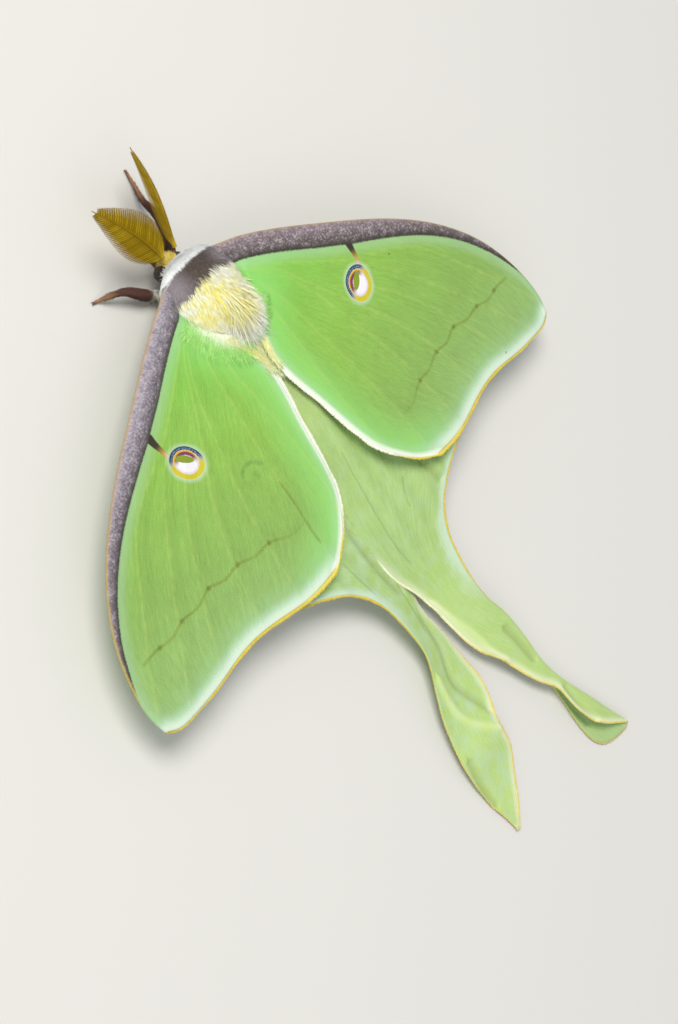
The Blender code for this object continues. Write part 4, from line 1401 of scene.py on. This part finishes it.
def body_coat(skin):
    """The hair in pieces: each lies over its own part of the skin."""
    points, _, _, (on_leg, along, _, _) = skin
    material = coat_material()
    _, y, z = points.T
    free = 1 - on_leg
    clear = clear_of_eyes(points)
    head = free * (y < 1.2) * (z < 5.2) * clear
    hood = free * step(z, 3.4, 4.4) * (y > -0.4) * (y < 3.7) * (1 - (y < 1.2) * (z < 5.0)) * clear
    back = free * (y >= 3.0) * (y < 12.9) * step(z, 4.6, 6.2)
    ruff = free * step(y, 6.0, 8.5) * (y < 12.8) * step(z, 5.4, 6.6)
    under = free * (y >= 1.2) * (y < 12.9) * step(z, 6.2, 4.4)
    coat("coat_head", "yellow_hair", skin, material, 3600, head, forwards,
         lift=lambda r: 0.6 + 0.9 * step(r[:, 2], 4.0, 5.0),
         length=lambda r: 0.5 + 0.85 * step(r[:, 2], 3.8, 4.9), width=0.14, seed=1, shaded_from=-1.0)
    coat("coat_collar", "white_hair", skin, material, 12500, hood, swept, lift=0.42,
         length=lambda r: 0.7 + 0.15 * step(r[:, 1], 2.2, 3.0), width=0.15, seed=2, segments=2,
         shaded_from=-1.2)
    coat("coat_thorax", "yellow_hair", skin, material, 11500, back, backwards(0.55, 0.16), lift=0.4,
         length=lambda r: (1.7 + 2.3 * step(r[:, 1], 4.0, 10.0)) * trimmed(r), width=0.17, seed=3)
    coat("coat_ruff", "yellow_hair", skin, material, 5500, ruff, backwards(0.9, 0.2),
         lift=lambda r: 0.4 + (0.45 + 0.4 * step(r[:, 0], 1.0, -1.0)) * step(r[:, 1], 6.5, 11.0),
         length=lambda r: (2.4 + 2.0 * step(np.abs(r[:, 0] + 0.8), 3.8, 0.8)) * trimmed(r),
         width=0.16, seed=7, droop=-0.05)
    coat("coat_underside", "white_hair", skin, material, 6000, under, backwards(0.4, 0.25, 0.4),
         lift=0.4, length=1.1, width=0.2, seed=4, segments=2)
    coat("coat_abdomen", "white_hair", skin, material, 9500, free * (y >= 12.3), backwards(0.2, 0.15),
         lift=0.35, length=lambda r: 1.0 + 0.5 * step(r[:, 1], 26.0, 32.0), width=0.24, seed=5,
         segments=2)
    coat("coat_legs", "leg", skin, material, 9000, on_leg * (along > 0.1), along_legs(skin), lift=0.5,
         length=lambda r: 0.34 + 0.55 * step(r[:, 2], 0.4, 1.4), width=0.11, seed=6,
         unwrap=leg_unwrap(skin), segments=2)


def wing_top(side, places):
    """The height of a forewing's upper surface at each place across and along the moth."""
    tops = WING_TOPS[side]
    tree = KDTree(len(tops))
    for index, (x, y, _) in enumerate(tops.tolist()):
        tree.insert((x, y, 0.0), index)
    tree.balance()
    return np.array([tops[tree.find((x, y, 0.0))[1], 2] for x, y in places.tolist()])


def fan_hair(rng, side):
    """Roots and ways of the hair that fans over the wing from the thorax, and their reach, 0 to 1."""
    turn = np.radians(rng.uniform(4.0, FAN_TURN[side], FAN_HAIRS))
    radius = rng.random(FAN_HAIRS) ** 1.9
    way = np.stack([np.sin(turn), np.cos(turn)], axis=1)
    spread = (FAN_RADIUS + FAN_REACH[side] * radius)[:, None] * way
    return FAN_CENTRE + spread * FAN_SHAPE, way, radius


def hem_hair(rng):
    """Roots and ways of the hair along the forewing's inner margin, and its lateness along it."""
    share = 0.07 + 0.2 * rng.random(HEM_HAIRS) ** 1.3
    edge = smooth_curve(FOREWING_INNER)(share)
    way = unit(smooth_curve(FOREWING_INNER)(share + 0.01) - edge)
    onto = np.stack([way[:, 1], -way[:, 0]], axis=1)
    root = edge + onto * (0.25 + rng.exponential(0.16, HEM_HAIRS))[:, None]
    return root, way - 0.35 * onto * rng.random((HEM_HAIRS, 1)), (share - 0.06) * 2.5


def gap_hair(rng):
    """Roots and ways of the hair behind the thorax, between the wings, and its lateness."""
    down = GAP_START + GAP_LENGTH * rng.random(GAP_HAIRS) ** 1.4
    root = np.stack([np.abs(rng.normal(0.0, 0.3 + 0.04 * (down - GAP_START))), down], axis=1)
    way = np.stack([rng.normal(0.0, 0.12, GAP_HAIRS) + 0.008 * down, np.ones(GAP_HAIRS)], axis=1)
    return root, way, (down - GAP_START + 0.1) / 9


def wing_hair(side, material):
    """Soft hair fanning over a wing's base, beside its inner margin, and between the two wings."""
    rng = np.random.default_rng(SEED + SIDES[side] + 5)
    fan, fan_way, radius = fan_hair(rng, side)
    hem, hem_way, hem_late = hem_hair(rng)
    gap, gap_way, gap_late = gap_hair(rng)
    root = np.concatenate([fan, hem, gap])
    way = unit(np.concatenate([fan_way, hem_way, gap_way]))
    late = np.concatenate([np.zeros(FAN_HAIRS), hem_late, gap_late])
    reach = np.concatenate([radius, np.zeros(HEM_HAIRS + GAP_HAIRS)])
    count = len(root)
    size = (WING_HAIR_LENGTH - late - 0.9 * reach) * rng.uniform(0.5, 1.2, count)

    def height(places):
        level = wing_top(side, places * MIRROR[side][:2]) + WING_HAIR_RISE
        level[FAN_HAIRS + HEM_HAIRS :] = GAP_HEIGHT
        return level

    level = height(root)
    slope = np.clip((height(root + way * size[:, None]) - level) / size, -0.5, 0.5)[:, None] * UP
    root, way = np.column_stack([root, level]), np.column_stack([way, np.zeros(count)])
    first = unit(way + slope + 0.05 * UP + rng.normal(0, 0.1, (count, 3)) * (1, 1, 0.4))
    last = unit(way + slope - 0.04 * UP + rng.normal(0, 0.14, (count, 3)) * (1, 1, 0.2))
    unwrap = np.clip(np.stack([root[:, 0] / 12 + 0.2, root[:, 1] / 30], axis=1), 0, 1)
    lines = [line * MIRROR[side] for line in (root, first, last, np.cross(UP, way))]
    make_tufts(f"coat_wing_{side}", material, "yellow_hair", *lines[:3], size,
               rng.uniform(0.05, 0.1, count), lines[3], np.tile(UP, (count, 1)), unwrap,
               {"outward": reach, "late": late})


def wing_hair_material():
    """White at the thorax turning to the wing's green, and yellow between the wings."""
    g = Graph("wing_hair")
    along, tone = g.attribute("along"), g.attribute("tone")
    outward, late = g.attribute("outward"), g.attribute("late")
    white = g.mix(tone.rise(0.3, 0.8), (232, 246, 196), (250, 253, 236))
    green = g.mix(tone.rise(0.2, 0.8), (140, 216, 92), (178, 230, 136))
    base = g.mix((outward * 1.3 + along * 0.35 + tone * 0.2).rise(0.2, 0.8), white, green)
    yellow = g.mix(tone.rise(0.2, 0.7), (226, 222, 116), (244, 244, 182))
    pale = g.mix(tone, (196, 224, 150), (232, 242, 206))
    yellow = g.mix((late + tone * 0.3).rise(0.35, 0.9), yellow, pale)
    colour = g.mix(late.rise(0.0, 0.02), base, yellow)
    colour = g.shaded(colour, 0.94 + g.noise(g.place(), 0.5) * 0.14)
    return g.finish(colour, roughness=0.7, sheen=0.2)


def layout_place(node):
    """Centre and radius of a ball-shaped CAD node, in layout millimetres."""
    low, high = (np.array(corner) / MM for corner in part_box(node))
    return (low + high) / 2 + ORIGIN, (high - low).min() / 2


EYE = layout_place("eye_left")


def eye_material():
    g = Graph("eye")
    cells = g.raw("ShaderNodeTexVoronoi", inputs={"Vector": g.place(), "Scale": 1 / 0.11})
    facet = Value(g, cells.outputs["Distance"])
    spots = g.noise(g.place(), 0.5)
    colour = g.mix(spots.rise(0.35, 0.7), (26, 16, 14), (58, 36, 28))
    colour = g.mix(facet.rise(0.03, 0.09) * 0.5, colour, (12, 8, 8))
    return g.finish(colour, 1.0 - facet * 8.0, roughness=0.22, specular=0.6)


def eyes():
    material = eye_material()
    rows, columns = EYE_GRID
    polar = math.pi * np.linspace(0.01, 0.99, rows)[:, None, None]
    turn = ROUND * np.arange(columns)[None, :, None] / columns
    ball = np.concatenate([np.cos(polar) + 0 * turn, np.sin(polar) * np.cos(turn),
                           np.sin(polar) * np.sin(turn)], axis=2)
    for side in SIDES:
        centre, radius = layout_place(f"eye_{side}")
        points, faces = loft(centre + radius * ball)
        piece = make_piece(f"ball_{side}", points, facing_out(points, faces, centre), material, "eye",
                           {"place": points})
        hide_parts(f"eye_{side}")


def facing_out(points, faces, centre):
    """The faces, turned so that they face away from the centre."""
    group = faces[0]
    corners = points[group[len(group) // 2]]
    way = np.cross(corners[2] - corners[0], corners[-1] - corners[1])
    return faces if way @ (corners.mean(0) - centre) > 0 else [f[:, ::-1] for f in faces]


def claws():
    """Two small hooks at the end of each leg."""
    g = Graph("claw")
    colour = g.mix(g.noise(g.place(), 0.2).rise(0.4, 0.6), (50, 26, 22), (84, 48, 34))
    material = g.finish(colour, roughness=0.35)
    roots, first, last = [], [], []
    for name in LEG_PATHS:
        ends = leg_path(name)(np.array([0.96, 0.99]))
        ahead = unit(ends[1] - ends[0])
        across = unit(np.cross(ahead, UP))
        for way in (-1, 1):
            roots.append(ends[1] + 0.08 * way * across)
            first.append(unit(ahead + 0.6 * way * across + 0.3 * UP))
            last.append(unit(0.6 * ahead + 0.1 * way * across - 0.7 * UP))
    roots, first, last = (np.array(v) for v in (roots, first, last))
    count = len(roots)
    points, faces, *_ = locks(roots, first, last, np.full(count, CLAW_LENGTH),
                              np.full(count, CLAW_WIDTH), np.cross(first, UP), segments=4, corners=6,
                              keep=1.0)
    points[:, 2] = np.maximum(points[:, 2], FOOT_GAP)
    make_piece("claws", points, faces, material, "leg", {"place": points})


def antenna_material():
    """Ochre, darker at the stem, paler at the feeler's root and tip."""
    g = Graph("antenna")
    along, tone, rank = g.attribute("along"), g.attribute("tone"), g.attribute("rank")
    colour = g.layers(
        g.mix(tone, (146, 118, 6), (178, 148, 24)),
        (along.fall(0.0, 0.35) * 0.45, (124, 98, 2)),
        (rank.rise(0.75, 1.0) * 0.3, (172, 146, 70)),
        (rank.fall(0.0, 0.12) * 0.6, (204, 180, 44)),
    )
    colour = g.shaded(colour, 0.84 + g.noise(g.place(), 0.25) * 0.32)
    return g.finish(colour, roughness=0.7, specular=0.12)


def antenna_axes(side):
    """Where a feeler starts, its way, and the directions across its blade and out of it."""
    flip = SIDES[side]
    base = np.array(ANTENNA_BASE) * MIRROR[side]
    way = unit(np.array(ANTENNA_WAY[side]) * MIRROR[side])
    level = unit(flip * np.array([-way[1], way[0], 0.0]))
    lift = flip * np.cross(way, level)
    cosine, sine = math.cos(ANTENNA_LEAN), math.sin(ANTENNA_LEAN)
    return base, way, cosine * level - sine * lift, sine * level + cosine * lift


def antenna_barbs(stem, way, out, up):
    """Two ranks of barbs to each side of the stem, one over the other, as locks describes them."""
    shares = np.tile(np.repeat((np.arange(BARBS) + 0.5) / BARBS * BARB_SPAN, 2), 2)
    rank = np.repeat([0.0, 1.0], BARBS * 2)
    shares = shares + rank * 0.45 / BARBS
    length = np.ones(len(shares))
    for _ in range(8):
        tip = np.clip(shares + length * math.sin(BARB_LEAN) / ANTENNA_LENGTH, 0.012, 0.985)
        swell = np.sin(math.pi * tip**0.78) ** 0.85
        length = ANTENNA_HALF_WIDTH * swell / math.cos(BARB_LEAN) + 0.12
    roots = stem(shares) - up * (0.1 * rank[:, None] + 0.02)
    sideways = np.tile([1.0, -1.0], BARBS * 2)[:, None] * out

    def leant(angle, rise):
        return unit(math.cos(angle) * sideways + math.sin(angle) * way + rise * up)

    return roots, leant(BARB_LEAN - 0.12, 0.05), leant(BARB_LEAN + 0.12, -0.12), length, sideways


def barb_hairs(rng, roots, first, last, length, sideways, way):
    """Fine hairs that close the gaps from each barb to the next, and how far along it each is."""
    count = len(roots)
    barb = np.repeat(np.arange(count), BARB_HAIRS * 2)
    at = np.tile((np.arange(BARB_HAIRS) + 0.5) / BARB_HAIRS, count * 2)[:, None]
    start = roots[barb] + length[barb, None] * (at * (1 - at / 2) * first[barb] + at * at / 2 * last[barb])
    lean = np.where(np.arange(len(barb)) % (2 * BARB_HAIRS) < BARB_HAIRS, 1.0, -1.0)[:, None]
    towards = unit(way * lean + sideways[barb] * 0.9 + rng.normal(0, 0.15, (len(barb), 3)))
    hairs = locks(start, towards, unit(towards + way * 0.3), rng.uniform(0.2, 0.34, len(barb)),
                  np.full(len(barb), BARB_HAIR_WIDTH), sideways[barb], segments=1)
    return hairs, at[:, 0]


def antenna(side, material):
    """A feather-like comb: a stem, two ranks of barbs to each side, and fine hairs along them."""
    base, way, out, up = antenna_axes(side)

    def stem(s):
        s = np.atleast_1d(s)[:, None]
        arc = np.sin(math.pi * np.clip(s, 0, 1))
        return base + way * ANTENNA_LENGTH * s - out * ANTENNA_CURVE * arc + up * ANTENNA_BOW * arc

    rng = np.random.default_rng(SEED + SIDES[side])
    roots, first, last, length, sideways = antenna_barbs(stem, way, out, up)
    count = len(roots)
    barbs = locks(roots, first, last, length, np.full(count, BARB_WIDTH), np.tile(way, (count, 1)),
                  segments=5, corners=4, keep=0.45)
    hairs, at = barb_hairs(rng, roots, first, last, length, sideways, way)
    thick = natural_cubic(*ANTENNA_STEM)
    rod = tube(stem, lambda s: thick(s)[0], stations=60, sides=12)
    points, faces = join([rod, barbs[:2], hairs[:2]])
    plain = np.zeros(len(rod[0]))
    tone = np.concatenate([plain + 0.1, rng.random(count)[barbs[2]], rng.random(len(at))[hairs[2]]])
    along = np.concatenate([plain, barbs[3], at[hairs[2]]])
    rank = ((points - base) @ way) / ANTENNA_LENGTH
    piece = make_piece(f"comb_{side}", points, faces, material, "antenna",
                       {"place": points, "tone": tone, "along": along, "rank": rank})
    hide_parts(f"antenna_{side}")


body_coat(build_skin())
WING_HAIR = wing_hair_material()
for side in SIDES:
    wing_hair(side, WING_HAIR)
eyes()
claws()
ANTENNA = antenna_material()
for side in SIDES:
    antenna(side, ANTENNA)


# ---------------------------------------------------------------- floor, light and camera
CAMERA_PLACE = (0.16491, -0.05587, 0.22520)
CAMERA_AXES = ((-0.55037, 0.62154, 0.55749), (-0.60388, -0.75742, 0.24827),
               (0.57656, -0.20001, 0.79219))  # to its right, up, and backwards
LENS = 76.3
SENSOR_WIDTH = 36.0
FLOOR_SIZE = 3.0
FLOOR_COLOUR = (222, 220, 214)
SKY_COLOUR = (0.93, 0.96, 1.0, 1.0)
SKY_STRENGTH = 0.45


def floor():
    bpy.ops.mesh.primitive_plane_add(size=FLOOR_SIZE, location=(0, 0, 0))
    plane = bpy.context.object
    plane.name = "floor"
    plane.data.materials.append(Graph("floor").finish(linear(FLOOR_COLOUR), roughness=0.9))


def lamp(name, place, size, power, colour=(1.0, 1.0, 1.0)):
    light = bpy.data.lights.new(name, "AREA")
    light.shape = "DISK"
    light.size = size
    light.energy = power
    light.color = colour
    fitting = linked(name, light)
    fitting.location = place
    fitting.rotation_euler = Vector(place).to_track_quat("Z", "Y").to_euler()


def camera():
    lens = bpy.data.cameras.new("camera")
    lens.lens = LENS
    lens.sensor_width = SENSOR_WIDTH
    lens.clip_start = 0.01
    eye = linked("camera", lens)
    eye.matrix_world = Matrix.Translation(CAMERA_PLACE) @ Matrix(CAMERA_AXES).transposed().to_4x4()
    bpy.context.scene.camera = eye


def world():
    sky = bpy.data.worlds.new("sky")
    sky.use_nodes = True
    background = sky.node_tree.nodes["Background"]
    background.inputs["Color"].default_value = SKY_COLOUR
    background.inputs["Strength"].default_value = SKY_STRENGTH
    bpy.context.scene.world = sky


floor()
lamp("key", (0.10, -0.30, 0.55), size=0.35, power=3.0, colour=(1.0, 0.98, 0.95))
lamp("fill", (0.45, 0.25, 0.40), size=0.5, power=0.8)
world()
camera()
bpy.context.scene.view_settings.view_transform = "Standard"
